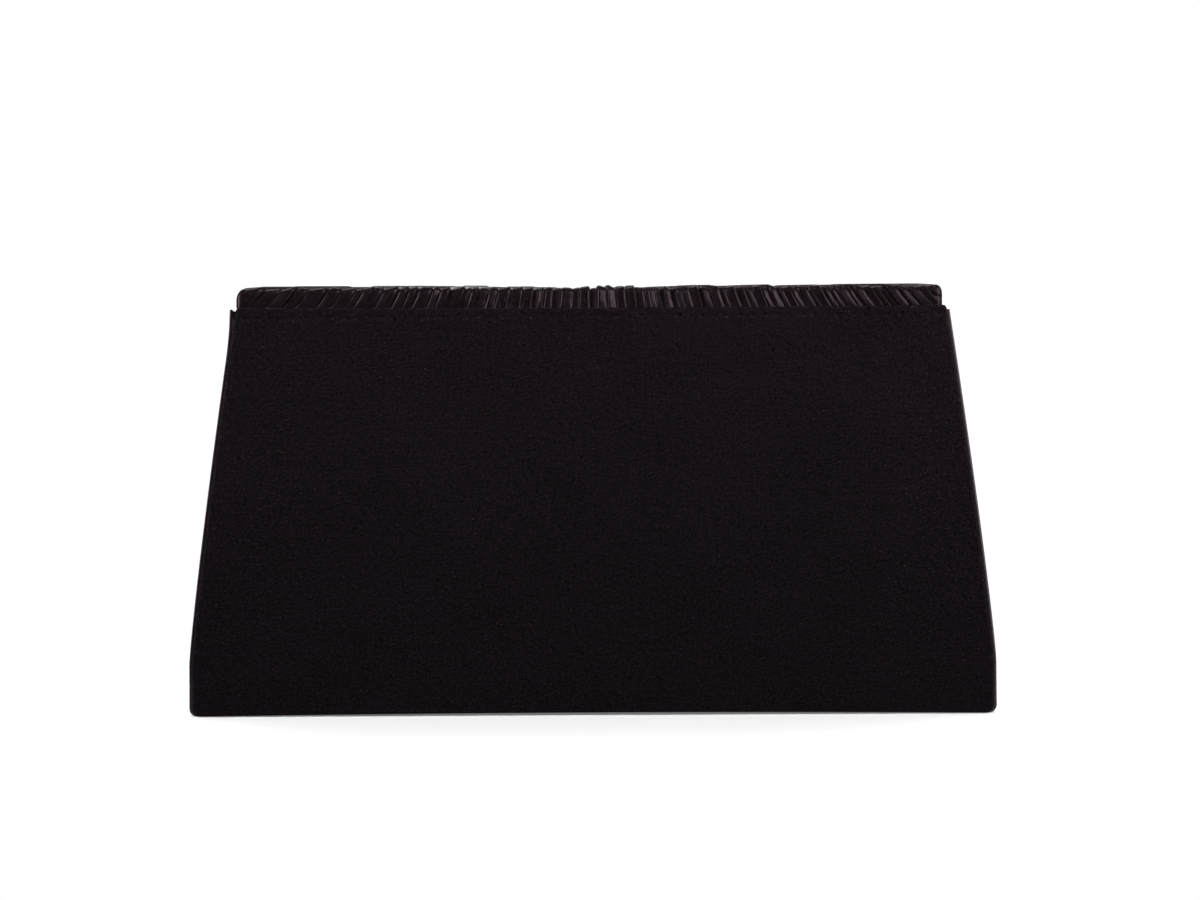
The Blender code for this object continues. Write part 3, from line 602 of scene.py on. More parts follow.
def stitching(starts, ends):
    """Thread: one small bowed capsule for each stitch."""
    cloth = Cloth()
    turn = np.linspace(0, 2 * math.pi, THREAD_SIDES, endpoint=False)
    share = np.linspace(0, 1, THREAD_STEPS)
    swell = np.sqrt(np.clip(1 - (2 * share - 1) ** 6, 0.0, 1.0))
    out = np.array([0.0, -BACK.inward[0], -BACK.inward[1]])
    for start, end in zip(starts, ends):
        along = (end - start) / np.linalg.norm(end - start)
        across = np.cross(along, out)
        bow = out * (THREAD_BOW * np.sin(math.pi * share))[:, None]
        middle = start + share[:, None] * (end - start) + bow
        ring = np.cos(turn)[:, None] * across + np.sin(turn)[:, None] * out
        rings = middle[:, None, :] + THREAD_RADIUS * swell[:, None, None] * ring[None]
        cloth.grid(rings, np.zeros(2), around=True)
    return cloth


def on_hem(across, tilted):
    up = stitch_up(across) + tilted
    return BACK.at(across, up + back_shift(across, up), back_relief(across, up) - THREAD_LIFT)


tilt = RNG.normal(0, STITCH_SCATTER, STITCHES)
stitches = stitching(on_hem(NEEDLES[:-1] + STITCH_MARGIN, tilt), on_hem(NEEDLES[1:] - STITCH_MARGIN, -tilt))
hem_thread = stitches.piece("hem_thread", THREAD, "satin", (0, -1, 0), thickness=0)
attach(hem_thread, "body")


# The pleated flap and its roll

RISE_TURN = math.atan2(BACK.up[1], BACK.up[0])
FALL_TURN = math.atan2(-FRONT.up[1], -FRONT.up[0])
BACK_CENTRE = HINGE_Y + ROLL_RISE * math.cos(RISE_TURN) + BACK_ROLL * math.sin(RISE_TURN)
FRONT_CENTRE = FOLD_Y + FRONT_ROLL * math.sin(FALL_TURN)
TOP_START = ROLL_RISE + BACK_ROLL * RISE_TURN
TOP_END = TOP_START + FRONT_CENTRE - BACK_CENTRE
ROLL_LENGTH = TOP_END - FRONT_ROLL * FALL_TURN
FAN_REACH = ROLL_LENGTH + FOLD_UP - GATHER_UP
SEAM = (TOP_START + TOP_END) / 2
FLAP_END = ROLL_LENGTH + FOLD_UP - FLAP_LOW


def section(long):
    """Place (y, z) and outward normal on the roll's crest line, long metres from the hem."""
    long = np.asarray(long, float)
    turn = np.where(
        long < TOP_START,
        RISE_TURN - np.clip(long - ROLL_RISE, 0, None) / BACK_ROLL,
        -np.clip(long - TOP_END, 0, ROLL_LENGTH - TOP_END) / FRONT_ROLL,
    )
    rise = np.minimum(long, ROLL_RISE)
    y = np.where(
        long < TOP_START,
        HINGE_Y + rise * math.cos(RISE_TURN) + BACK_ROLL * (math.sin(RISE_TURN) - np.sin(turn)),
        BACK_CENTRE + np.clip(long, TOP_START, TOP_END) - TOP_START - FRONT_ROLL * np.sin(turn),
    )
    z = np.where(
        long < TOP_START,
        HINGE_Z + rise * math.sin(RISE_TURN) + BACK_ROLL * (np.cos(turn) - math.cos(RISE_TURN)),
        RIDGE_Z - FRONT_ROLL * (1 - np.cos(turn)),
    )
    fall = np.clip(long - ROLL_LENGTH, 0, None)
    y = y + fall * math.cos(FALL_TURN)
    z = z + fall * math.sin(FALL_TURN)
    return np.stack([y, z], -1), np.stack([-np.sin(turn), np.cos(turn)], -1)


SQUARE = 5


def squared_off(long):
    """How far the roll stands out from its round back corner: cloth over wadding turns more squarely."""
    turn = math.pi / 2 * np.clip((long - ROLL_RISE) / (TOP_START - ROLL_RISE), 0, 1)
    return BACK_ROLL * ((np.cos(turn) ** SQUARE + np.sin(turn) ** SQUARE) ** (-1 / SQUARE) - 1)


def flap_half(long):
    """Half the width of the flap at a distance from the hem, without its low corners."""
    up = FOLD_UP - np.clip(long - ROLL_LENGTH, 0, None)
    return side_half_width(up) - FLAP_INSET


LEFT_DROOP = 3.0 * MM
RIGHT_DROOP = 1.3 * MM
LEFT_REACH = 1.15 * MM
REACH_IN = 1.5 * MM
REACH_OUT_START = 30 * MM
REACH_OUT = 40 * MM
REACH_ACROSS = 85 * MM
REACH_OVER = 28 * MM


def flap_place(across, long, depth):
    """A point of the flap or its roll: across, distance from the hem, depth below the crests.

    The roll's ends droop, and its left end reaches further out.
    """
    across, long, depth = np.broadcast_arrays(across, long, depth)
    place, normal = section(long)
    spot = place - normal * (depth - squared_off(long))[..., None]
    half = flap_half(long)
    height = np.clip((spot[..., 1] - HINGE_Z) / (RIDGE_Z - HINGE_Z), 0, 1)
    drop = 0.0
    for end, radius in ((half + across, LEFT_DROOP), (half - across, RIGHT_DROOP)):
        lean = np.clip((radius - end) / radius, 0, 1)
        drop = drop + radius * (1 - np.sqrt(1 - lean**2))
    reach = ease((long + REACH_IN) / REACH_IN) * (1 - ease((long - REACH_OUT_START) / REACH_OUT))
    across = across - LEFT_REACH * reach * ease((-across - REACH_ACROSS) / REACH_OVER)
    return np.stack([across, spot[..., 0], spot[..., 1] - drop * height], -1)


# Folds between the pleats, as angles round the fan's middle

FIRST_FOLD = 4.5 * MM
PITCH_SHARES = (-1, -0.75, -0.4, -0.1, 0.5, 1)
PITCHES = np.array((4.6, 4.2, 3.6, 2.6, 2.6, 3.0)) * MM
PITCH_SPREAD = (0.55, 1.5)
SIDE_PITCH = 5.4 * MM
SIDE_SPREAD = (0.6, 1.4)
SIDE_MARGIN = 2 * MM


def edge_line(start, inset):
    """The flap's right edge from start to the middle of its low edge, as (across, long) points, inset."""
    corner = FLAP_CORNER - inset
    corner_long = FLAP_END - inset - corner
    sides = runs((start, ROLL_LENGTH, 24), (ROLL_LENGTH, corner_long, 60))
    straight = np.stack([flap_half(sides) - inset, sides], -1)
    corner_across = straight[-1, 0] - corner
    turn = np.linspace(0, math.pi / 2, 20)[1:]
    bend = np.stack([corner_across + corner * np.cos(turn), corner_long + corner * np.sin(turn)], -1)
    low = np.linspace(corner_across, 0, 60)[1:]
    return np.concatenate([straight, bend, np.stack([low, np.full_like(low, FLAP_END - inset)], -1)])


def pleat_lines():
    """Angles of the folds from the line straight up to the hem: closer in the middle and on the right."""
    half = float(flap_half(0.0))
    angles = []
    across = -half + FIRST_FOLD
    while across < half:
        angles.append(math.atan2(across, FAN_REACH))
        pitch = np.interp(across / (TOP_WIDTH / 2), PITCH_SHARES, PITCHES)
        across += float(pitch) * RNG.uniform(*PITCH_SPREAD)
    outline = edge_line(0.0, 0.0)
    steps = np.linalg.norm(np.diff(outline, axis=0), axis=1)
    lengths = np.concatenate([[0], np.cumsum(steps)])
    for side in (-1, 1):
        walked = SIDE_MARGIN
        while walked < lengths[-1] - SIDE_MARGIN:
            spot_x = np.interp(walked, lengths, outline[:, 0])
            spot_long = np.interp(walked, lengths, outline[:, 1])
            angles.append(side * math.atan2(spot_x, FAN_REACH - spot_long))
            walked += SIDE_PITCH * RNG.uniform(*SIDE_SPREAD)
    return np.sort(np.array(angles))


FOLDS = pleat_lines()
PLEATS = len(FOLDS)
WIDTHS = np.diff(np.append(FOLDS, FOLDS[0] + 2 * math.pi))
CREST_AT = RNG.uniform(0.62, 0.86, PLEATS)
TURNED = (RNG.random(PLEATS) < 0.25) != (FOLDS > 0)
CREST_SIZE = RNG.uniform(0.55, 1.3, PLEATS)
LOW_SIDE = RNG.uniform(0.25, 0.75, PLEATS)


# Relief of the pleats

LOW_SIDE_OVER = 0.12
CLIMB_POWER = 1.2
FALL_POWER = 0.7
FULL_WIDTH = 2.8 * MM
NARROW_POWER = 0.6
SINK_START = 8 * MM
SINK_END = 22 * MM
EDGE_LEVEL = 0.75
EDGE_SHARE = 0.35
CALM_START = 1.5 * MM
CALM_OVER = 7 * MM
ANGLE_NUDGE = 1e-9


def pleat_profile(share, number):
    """Height of a knife pleat over its width: it climbs slowly to its crest and drops back at once."""
    crest = CREST_AT[number]
    climb = np.clip(share / crest, 0, 1)
    fall = np.clip((share - crest) / (1 - crest), 0, 1)
    low = LOW_SIDE[number]
    rising = low * ease(climb / LOW_SIDE_OVER) + (1 - low) * climb**CLIMB_POWER
    return np.where(share < crest, rising, (1 - fall**2) ** FALL_POWER)


def edge_calm(across, long):
    """Pleats lie flatter by the turned edges of the flap."""
    side = flap_half(long) - np.abs(across)
    low = np.where(long > ROLL_LENGTH, FLAP_END - long, 1.0)
    near = np.minimum(side, low)
    return EDGE_SHARE + (1 - EDGE_SHARE) * ease((near - CALM_START) / CALM_OVER)


def pleat_depth(across, long):
    """Depth of the pleated cloth below the crests, at a place on the unrolled flap."""
    away = FAN_REACH - long
    angle = np.arctan2(across, away)
    radius = np.hypot(across, away)
    number = np.searchsorted(FOLDS, angle.ravel() + ANGLE_NUDGE).reshape(angle.shape) - 1
    share = np.clip((angle - FOLDS[number]) % (2 * math.pi) / WIDTHS[number], 0, 1)
    height = pleat_profile(np.where(TURNED[number], 1 - share, share), number) * CREST_SIZE[number]
    room = np.clip(radius * WIDTHS[number] / FULL_WIDTH, 0, 1) ** NARROW_POWER
    calm = ease((radius - SINK_START) / (SINK_END - SINK_START))
    free = edge_calm(across, long)
    return PLEAT_DEPTH * (1 - (height * room * free + EDGE_LEVEL * (1 - free)) * calm)


HEM_SQUEEZE = 0.6
HEM_PRESS = 0.22 * MM
HEM_FREE = 2 * MM


def hemmed_depth(across, long):
    """Depth of the pleats by the hem, where they are sewn flat against it."""
    free = pleat_depth(across, long)
    sewn = HEM_SQUEEZE * free + HEM_PRESS
    return sewn + (free - sewn) * ease(long / HEM_FREE)


THICKEN_BEFORE = 3 * MM
THICKEN_OVER = 6 * MM


def inner_depth(long):
    """Depth of the flap's inner face below the crests: the roll is thinner than the front."""
    share = ease((long - ROLL_LENGTH + THICKEN_BEFORE) / THICKEN_OVER)
    return ROLL_THICK + (FLAP_THICK - ROLL_THICK) * share


# Mesh of the pleats

EDGE_INSET = 2.4 * MM
EDGE_TURNS = np.linspace(0, math.pi, 11)
TURN_UNDER = 4 * MM
CLIMB_STEPS = np.array([0.0, 0.08, 0.16, 0.5, 0.86, 1.0])
FALL_STEPS = np.array([0.4, 0.75])
COLUMN_GAP = 1e-5
SEAM_HALF = float(flap_half(SEAM)) - EDGE_INSET
SEAM_AWAY = FAN_REACH - SEAM
SEAM_ANGLE = math.atan2(SEAM_HALF, SEAM_AWAY)


def fan_columns():
    """Angles of the mesh columns round the fan's middle: each pleat's own folds, crests and slopes."""
    columns = []
    for number in range(PLEATS):
        crest = CREST_AT[number]
        steps = np.concatenate([CLIMB_STEPS * crest, crest + FALL_STEPS * (1 - crest)])
        steps = 1 - steps if TURNED[number] else steps
        columns.append(FOLDS[number] + WIDTHS[number] * steps)
    angles = np.concatenate([np.concatenate(columns), FOLDS])
    angles = np.where(angles > math.pi, angles - 2 * math.pi, angles)
    angles = np.sort(np.concatenate([angles, [-SEAM_ANGLE, SEAM_ANGLE]]))
    return angles[np.concatenate([[True], np.diff(angles) > COLUMN_GAP])]


COLUMNS = fan_columns()
HIDDEN_ROWS = np.array([-7.0, -5.0, -3.0, -1.6, -0.8, -0.3]) * MM
ROLL_ROWS = runs((0, ROLL_RISE, 4), (ROLL_RISE, TOP_START, 15), (TOP_START, SEAM, 8))
SPINE_ROWS = np.append(HIDDEN_ROWS, ROLL_ROWS)
FAN_ROWS = runs((0.0, 0.05, 2), (0.08, 0.2, 6), (0.2, 0.78, 6), (0.78, 1.0, 17))


def edge_rings(across, long, out):
    """Rings of points that turn the cover round an edge; out is the way out on the unrolled flap."""
    start = pleat_depth(across, long)
    deep = inner_depth(long)
    steps = []
    for turn in EDGE_TURNS:
        steps.append((EDGE_INSET * math.sin(turn), start + (deep - start) * (1 - math.cos(turn)) / 2))
    steps.append((-TURN_UNDER, deep))
    points = []
    flats = []
    walked = 0.0
    for off, depth in steps:
        points.append(flap_place(across + out[:, 0] * off, long + out[:, 1] * off, depth))
        walked += EDGE_INSET / 3
        flats.append(np.stack([across + out[:, 0] * walked, -long - out[:, 1] * walked], -1))
    return np.stack(points), np.stack(flats)


def spine_cloth():
    """The pleats from behind the hem to the seam on top of the roll, with their turned ends."""
    cloth = Cloth()
    rays = COLUMNS[np.abs(COLUMNS) <= SEAM_ANGLE + ANGLE_NUDGE]
    rows = SPINE_ROWS[:, None]
    x = np.clip((FAN_REACH - rows) * np.tan(rays), -SEAM_HALF, SEAM_HALF)
    long = np.broadcast_to(rows, x.shape)
    depth = hemmed_depth(x, long)
    cloth.grid(flap_place(x, long, depth), np.stack([x, -long], -1))
    for side, column in ((-1, 0), (1, -1)):
        edge = np.full(len(SPINE_ROWS), side * SEAM_HALF)
        points, flats = edge_rings(edge, SPINE_ROWS, np.tile([[side, 0.0]], (len(SPINE_ROWS), 1)))
        points[0] = flap_place(x[:, column], SPINE_ROWS, depth[:, column])
        cloth.grid(points, flats)
    return cloth


def fan_ends():
    """For each column, how far the fan's face goes from its middle: to the seam or to the inset edge."""
    right = edge_line(SEAM, EDGE_INSET)
    right_angle = np.arctan2(right[:, 0], FAN_REACH - right[:, 1])
    right_radius = np.hypot(right[:, 0], FAN_REACH - right[:, 1])
    size = np.abs(COLUMNS)
    to_edge = np.interp(size, right_angle, right_radius)
    to_seam = SEAM_AWAY / np.cos(np.minimum(size, SEAM_ANGLE))
    return np.where(size <= SEAM_ANGLE + ANGLE_NUDGE, to_seam, to_edge)


def fan_cloth():
    """The pleats from the seam to the flap's edges, and turned round the edges."""
    cloth = Cloth()
    radius = FAN_ROWS[:, None] * fan_ends()
    x = radius * np.sin(COLUMNS)
    long = FAN_REACH - radius * np.cos(COLUMNS)
    cloth.grid(flap_place(x, long, pleat_depth(x, long)), np.stack([x, -long], -1), around=True)
    right_side = np.flatnonzero(COLUMNS >= SEAM_ANGLE - ANGLE_NUDGE)
    left_side = np.flatnonzero(COLUMNS <= -SEAM_ANGLE + ANGLE_NUDGE)
    rim = np.concatenate([right_side, left_side])
    along = np.gradient(np.stack([x[-1, rim], long[-1, rim]], -1), axis=0)
    along[0] = (0.0, 1.0)
    along[-1] = (0.0, -1.0)
    return cloth.grid(*edge_rings(x[-1, rim], long[-1, rim], outward(along)))


spine_pleats = spine_cloth().piece(
    "spine_pleats", PLEAT_SATIN, "pleated_satin", (0, -1, 1), PLEAT_THICK, PLEAT_SHARP
)
bent(spine_pleats, ("flap_anchor", "spine_cover"))

flap_pleats = fan_cloth().piece(
    "flap_pleats", PLEAT_SATIN, "pleated_satin", (0, 1, 0), PLEAT_THICK, PLEAT_SHARP
)
bent(flap_pleats, ("flap_cover",))


# Linings of the flap and its roll

LINE_INSET = 2.2 * MM
LINE_COLUMNS = spread(61, 0.5)
LINE_UNEVEN = 0.15 * MM
LINING_PROUD = 0.12 * MM
FACING_LAP = 1.0 * MM
LAP_PROUD = 0.42 * MM
FACING_SUNK = 1.0 * MM
FACING_DEPTH = BACK_THICK - FACING_SUNK + LAP_PROUD
FACING_END = -3 * MM
FACING_BLEND = 5 * MM
FOLD_LINED = ROLL_LENGTH + 4 * MM
CORNER_START = FLAP_END - FLAP_CORNER


def flap_lining_depth(across, long):
    return inner_depth(long) + LINING_PROUD + np.abs(waves(across, long, LINE_UNEVEN, seed=12))


def roll_lining_depth(across, long):
    """Depth of the roll's lining; behind the hem it comes forward to the facing's place."""
    share = ease((long - FACING_END) / FACING_BLEND)
    even = FACING_DEPTH + (inner_depth(long) + LINING_PROUD - FACING_DEPTH) * share
    return even + np.abs(waves(across, long, LINE_UNEVEN, seed=11))


def roll_lining_half(long):
    return flap_half(long) - LINE_INSET


def flap_lining_half(long):
    corner = FLAP_CORNER - LINE_INSET
    below = np.clip(long - CORNER_START, 0, corner)
    return flap_half(np.minimum(long, FLAP_END)) - LINE_INSET - corner + np.sqrt(corner**2 - below**2)


ROLL_LINING_ROWS = runs((-FACING_HEIGHT - FACING_LAP, FACING_END, 6), (FACING_END, SEAM, 34))
STRAIGHT_ROWS = runs((SEAM, TOP_END, 6), (TOP_END, FOLD_LINED, 24), (FOLD_LINED, CORNER_START, 26))
CORNER_ROWS = CORNER_START + (FLAP_CORNER - LINE_INSET) * arc_steps(13)[1:]
FLAP_LINING_ROWS = np.append(STRAIGHT_ROWS, CORNER_ROWS)

shape = (flap_place, roll_lining_half, ROLL_LINING_ROWS, roll_lining_depth)
roll_lining = flat_cloth("roll_lining", *shape, faces_to=(0, 1, -1), columns=LINE_COLUMNS, up=-1)
bent(roll_lining, ("back_facing", "spine_lining"))

shape = (flap_place, flap_lining_half, FLAP_LINING_ROWS, flap_lining_depth)
flap_lining = flat_cloth("flap_lining_cloth", *shape, faces_to=(0, -1, 0), columns=LINE_COLUMNS, up=-1)
bent(flap_lining, ("flap_lining",))


# Tab over the gather

TAB_HALF_WIDTH = 9 * MM
TAB_HALF_HEIGHT = 10.5 * MM
TAB_THICK = 2.4 * MM
TAB_SEAT = PLEAT_DEPTH - 0.1 * MM
TAB_TURNS = 72
TAB_RINGS = np.sin(np.linspace(0, math.pi / 2, 16))[:, None]
PUCKER = 0.09 * MM
PUCKERS = 11
PUCKER_START = 0.6


def tab_height(share, turn):
    """Crown of the padded tab, with a few soft puckers at its edge."""
    dome = TAB_THICK * np.sqrt(np.clip(1 - share**3, 0, 1))
    return dome + PUCKER * np.sin(PUCKERS * turn + PUCKER_START) * share**3 * (1 - share**8)


def tab_cloth():
    """The tab's crown, and the flat side that lies on the pleats."""
    cloth = Cloth()
    turn = np.linspace(0, 2 * math.pi, TAB_TURNS, endpoint=False)
    rim_and_middle = np.array([[1.0], [0.0]])
    for share, height in ((TAB_RINGS, tab_height(TAB_RINGS, turn)), (rim_and_middle, 0.0)):
        x = TAB_HALF_WIDTH * share * np.cos(turn)
        v = TAB_HALF_HEIGHT * share * np.sin(turn)
        cloth.grid(flap_place(x, FAN_REACH - v, TAB_SEAT - height), np.stack([x, v], -1), around=True)
    return cloth


tab_pad = tab_cloth().piece("tab_pad", PLAIN_SATIN, "satin", (0, 1, 0), thickness=0)
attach(tab_pad, "flap")
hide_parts("gather_tab")


# Front wall

FRONT_PUFF = 0.15 * MM
PUFF_OVER = 30 * MM
FRONT_TUCK = 1.5 * MM


def front_relief(across, up):
    """Depth of the front cover's face below its plane: the wadding puffs it out away from foot and top."""
    puff = FRONT_PUFF * ease(up / PUFF_OVER) * ease((FRONT_TOP - up) / PUFF_OVER)
    return waves(across, up, UNEVEN, seed=21) - puff


shape = (FRONT.at, cover_half, FRONT_LOW, FRONT_TOP, front_relief, FRONT_THICK)
edge = (EDGE_ROUND, FRONT_THICK - LINING - CLEAR, FRONT_TUCK)
front_cover = panel("front_cover", *shape, edge, columns=161, faces_to=(0, 1, 0))
stretched(front_cover, "front", "front_panel")

LAID_PROUD = 0.02 * MM
LINING_ROWS = 40
LINING_RISE = 2.0 * MM
FRONT_LINING_LOW = 3.4 * MM
BACK_LINING_LOW = 3.6 * MM
FACING_ROWS = 12
FACING_SHORT = 1.0 * MM
LINING_MARGIN = 1.5 * MM


def lining_half(up):
    return cover_half(up) - LINING_MARGIN


def laid(thick, seed, proud=LAID_PROUD, uneven=UNEVEN):
    """Gives a function for the depth of a cloth on a wall's inner face, a little uneven."""

    def depth(across, up):
        return thick + proud + np.abs(waves(across, up, uneven, seed))

    return depth


rows = np.linspace(FRONT_LINING_LOW, FRONT_TOP - FRONT_FACING_HEIGHT + LINING_RISE, LINING_ROWS)
depth = laid(FRONT_THICK, seed=31)
front_lining = flat_cloth("front_lining_cloth", FRONT.at, lining_half, rows, depth, (0, -1, 0))
stretched(front_lining, "front", "front_lining")

rows = np.linspace(FRONT_TOP - FRONT_FACING_HEIGHT - FACING_LAP, FRONT_TOP - FACING_SHORT, FACING_ROWS)
depth = laid(FRONT_THICK, seed=32, proud=LAP_PROUD)
front_facing = flat_cloth(
    "front_facing_cloth", FRONT.at, lining_half, rows, depth, (0, -1, 0), stuff=SATIN_STUFF
)
stretched(front_facing, "front", "front_facing")


# Lining of the back wall and its slip pocket

rows = np.linspace(BACK_LINING_LOW, BACK_TOP - FACING_HEIGHT + LINING_RISE, LINING_ROWS)
depth = laid(BACK_THICK, seed=33)
back_lining = flat_cloth("back_lining_cloth", BACK.at, lining_half, rows, depth, (0, 1, 0))
stretched(back_lining, "body", "back_lining")

POCKET_CORNER = 6 * MM
POCKET_TOP = POCKET_LOW + POCKET_HEIGHT
POCKET_PROUD = 0.55 * MM
POCKET_LOOSE = 0.45 * MM
POCKET_HEM = 8 * MM
POCKET_HEM_LIFT = 0.12 * MM
POCKET_HEM_OVER = 1 * MM
POCKET_UNEVEN = 0.08 * MM
POCKET_CURVE = POCKET_LOW + POCKET_CORNER * arc_steps(9)[:-1]
POCKET_FACE = (POCKET_LOW + POCKET_CORNER, POCKET_TOP - 9 * MM, 20)
POCKET_ROWS = np.append(POCKET_CURVE, runs(POCKET_FACE, (POCKET_TOP - 8.5 * MM, POCKET_TOP, 14)))


def pocket_half(up):
    rise = np.clip(POCKET_CORNER - (up - POCKET_LOW), 0, POCKET_CORNER)
    return POCKET_WIDTH / 2 - POCKET_CORNER + np.sqrt(POCKET_CORNER**2 - rise**2)


def pocket_depth(across, up):
    """The pocket lies on the lining at its sewn edges and stands off a little at its mouth."""
    share = np.clip((up - POCKET_LOW) / POCKET_HEIGHT, 0, 1)
    loose = POCKET_LOOSE * share**2 * (1 - np.clip(np.abs(across) / (POCKET_WIDTH / 2), 0, 1) ** 2)
    hem = POCKET_HEM_LIFT * ease((up - POCKET_TOP + POCKET_HEM) / POCKET_HEM_OVER)
    return BACK_THICK + POCKET_PROUD + loose + hem + np.abs(waves(across, up, POCKET_UNEVEN, seed=35))


pocket = flat_cloth("pocket_cloth", BACK.at, pocket_half, POCKET_ROWS, pocket_depth, (0, 1, 0))
stretched(pocket, "body", "slip_pocket")


# The base

BASE_HALF = 128.5 * MM
BASE_LOW_Y = -18.749 * MM
BASE_HIGH_Y = 6.87 * MM
BASE_ARCH = 0.7 * MM
BASE_UNEVEN = 0.06 * MM
BASE_LINING_UNEVEN = 0.15 * MM
BASE_LINING_ROWS = 14


def floor_place(across, up, depth):
    """A point of the base: up runs from back to front along the floor, depth runs up."""
    return np.stack(np.broadcast_arrays(across, up, depth), -1)


def base_relief(across, up):
    """Height of the base cover's face: it is arched from end to end."""
    rise = np.clip(1 - (across / BASE_HALF) ** 2, 0, 1)
    return BASE_ARCH * rise + np.abs(waves(across, up, BASE_UNEVEN, seed=41))


def base_half(up):
    return np.full_like(up, BASE_HALF)


def base_lining_half(up):
    return base_half(up) - LINING_MARGIN


shape = (floor_place, base_half, BASE_LOW_Y, BASE_HIGH_Y, base_relief, BASE_THICK)
edge = (EDGE_ROUND, BASE_THICK - EDGE_SHORT, EDGE_TUCK)
base_cover = panel("base_cover", *shape, edge, columns=121, faces_to=(0, 0, -1))
stretched(base_cover, "body", "base_panel")

rows = np.linspace(BASE_LOW_Y + LINING_MARGIN, BASE_HIGH_Y - LINING_MARGIN, BASE_LINING_ROWS)
depth = laid(BASE_THICK, seed=43, uneven=BASE_LINING_UNEVEN)
base_lining = flat_cloth("base_lining_cloth", floor_place, base_lining_half, rows, depth, (0, 0, 1))
stretched(base_lining, "body", "base_lining")


# The gussets

GUSSET_SHARES = np.linspace(0, 1, 33)
GUSSET_FOOT = FOOT_RADIUS * arc_steps(6)[:-1]
GUSSET_SIDE = runs((FOOT_RADIUS, WIDEST_HEIGHT, 6), (WIDEST_HEIGHT, HEM_HEIGHT, 44))
GUSSET_HEIGHTS = np.append(GUSSET_FOOT, GUSSET_SIDE)
GUSSET_RIPPLE = 0.25 * MM
ROUND_SHARE = 0.72
CURL = 0.95 * MM
CURL_DEPTH = CURL * 0.35
CURL_TURNS = np.linspace(0, math.pi / 2, 6)[1:]
LEFT_LIFT = 1.0 * MM
LEFT_FLARE = 1.0 * MM
FLARE_START = 112 * MM
FLARE_OVER = 20 * MM
FLARE_SHARE = 0.4
LINING_INSET = 1.2 * MM
LINING_FOOT = 3.4 * MM
LINING_DROP = 3 * MM


def gusset(side, inset, foot, top, curled):
    """A gusset's cloth, folded inward down its middle; curled turns its two edges in against the walls.

    The left one's edge by the back wall is lifted and flares out at the top.
    """
    share = GUSSET_SHARES
    by_back = 1 - ease(share / FLARE_SHARE) if side < 0 else 0.0
    crown = HEM_HEIGHT - FRONT_DROP * share - top + LEFT_LIFT * by_back
    level = foot + (GUSSET_HEIGHTS / HEM_HEIGHT)[:, None] * (crown - foot)
    low = BACK.y_at(level, BACK_THICK) + CLEAR
    high = FRONT.y_at(level, FRONT_THICK) - CLEAR
    y = low + (high - low) * share
    rounded = (1 - np.cos(2 * math.pi * share)) / 2
    soft = ROUND_SHARE * rounded + (1 - ROUND_SHARE) * (1 - np.abs(2 * share - 1))
    fold = GUSSET_FOLD * level / HEM_HEIGHT
    flare = LEFT_FLARE * np.clip((level - FLARE_START) / FLARE_OVER, 0, 1) ** 3 * by_back
    ripple = waves(y * 3, level, GUSSET_RIPPLE, seed=51 + side) * np.sin(math.pi * share) ** 2
    x = side_half_width(level) + flare - fold * soft - np.abs(ripple) - inset
    if curled:
        turned_in = CURL * (1 - np.cos(CURL_TURNS))
        turned_out = CURL_DEPTH * np.sin(CURL_TURNS)
        x = np.concatenate([x[:, :1] - turned_in[::-1], x, x[:, -1:] - turned_in], 1)
        y = np.concatenate([low[:, :1] - turned_out[::-1], y, high[:, -1:] + turned_out], 1)
        level = np.concatenate([level[:, :1] + 0 * turned_in, level, level[:, -1:] + 0 * turned_in], 1)
    return Cloth().grid(np.stack([side * x, y, level], -1), np.stack([y, level], -1))


for side, word in ((-1, "left"), (1, "right")):
    outer = gusset(side, 0.0, 0.0, GUSSET_DROP, curled=True)
    outer = outer.piece(word + "_gusset_cloth", GUSSET_SATIN, "satin", (side, 0, 0))
    bent(outer, (word + "_gusset",))
    inner = gusset(side, LINING_INSET, LINING_FOOT, GUSSET_DROP + LINING_DROP, curled=False)
    inner = inner.piece(word + "_gusset_lining_cloth", LINING_CLOTH, "lining", (-side, 0, 0))
    bent(inner, (word + "_gusset_lining",))


# Wadding inside

PAD_ROUND = 0.3 * MM
PAD_ROWS = 20
PAD_COLUMNS = 41
PAD_BUNCH = 0.4
PAD_DEPTH = 2.6 * MM
PAD_HALF_THICK = 0.4 * MM
PAD_INSET = 3.5 * MM
PAD_MARGIN = 4.5 * MM


def pad_from(node, name, body):
    """A soft piece like a CAD pad, its edges rounded."""
    solid_pad = bpy.data.objects[node]
    obj = new_object(name, solid_pad.data.copy())
    obj.matrix_world = solid_pad.matrix_world.copy()
    soften(obj, PAD_ROUND, 3)
    settle(obj)
    obj.data.shade_smooth()
    paint(obj, WADDING)
    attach(obj, body)
    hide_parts(node)


def roll_pad(name, start, end):
    """Half of the wadding in the roll: a thin pad that thins out to its sides."""
    cloth = Cloth()
    across = spread(PAD_COLUMNS, PAD_BUNCH)
    along = np.linspace(-1, 1, PAD_ROWS)[:, None]
    long = np.linspace(start, end, PAD_ROWS)[:, None]
    x = (float(flap_half(0.0)) - PAD_INSET) * across + 0 * long
    swell = PAD_HALF_THICK * np.sqrt(1 - across**8) * np.sqrt(1 - along**8)
    for side in (-1, 1):
        cloth.grid(flap_place(x, long, PAD_DEPTH + side * swell), np.stack([x, -long + 0 * x], -1))
    obj = cloth.piece(name, WADDING, "wadding", (0, 0, 1), thickness=0)
    return obj


pad_from("front_wadding", "front_pad", "front")
pad_from("flap_wadding", "flap_pad", "flap")
spine_pad = roll_pad("spine_pad", PAD_MARGIN, SEAM)
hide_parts("spine_wadding")
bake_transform(spine_pad)
fold_pad = roll_pad("fold_pad", SEAM, ROLL_LENGTH - PAD_MARGIN)
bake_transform(fold_pad)


# Lights


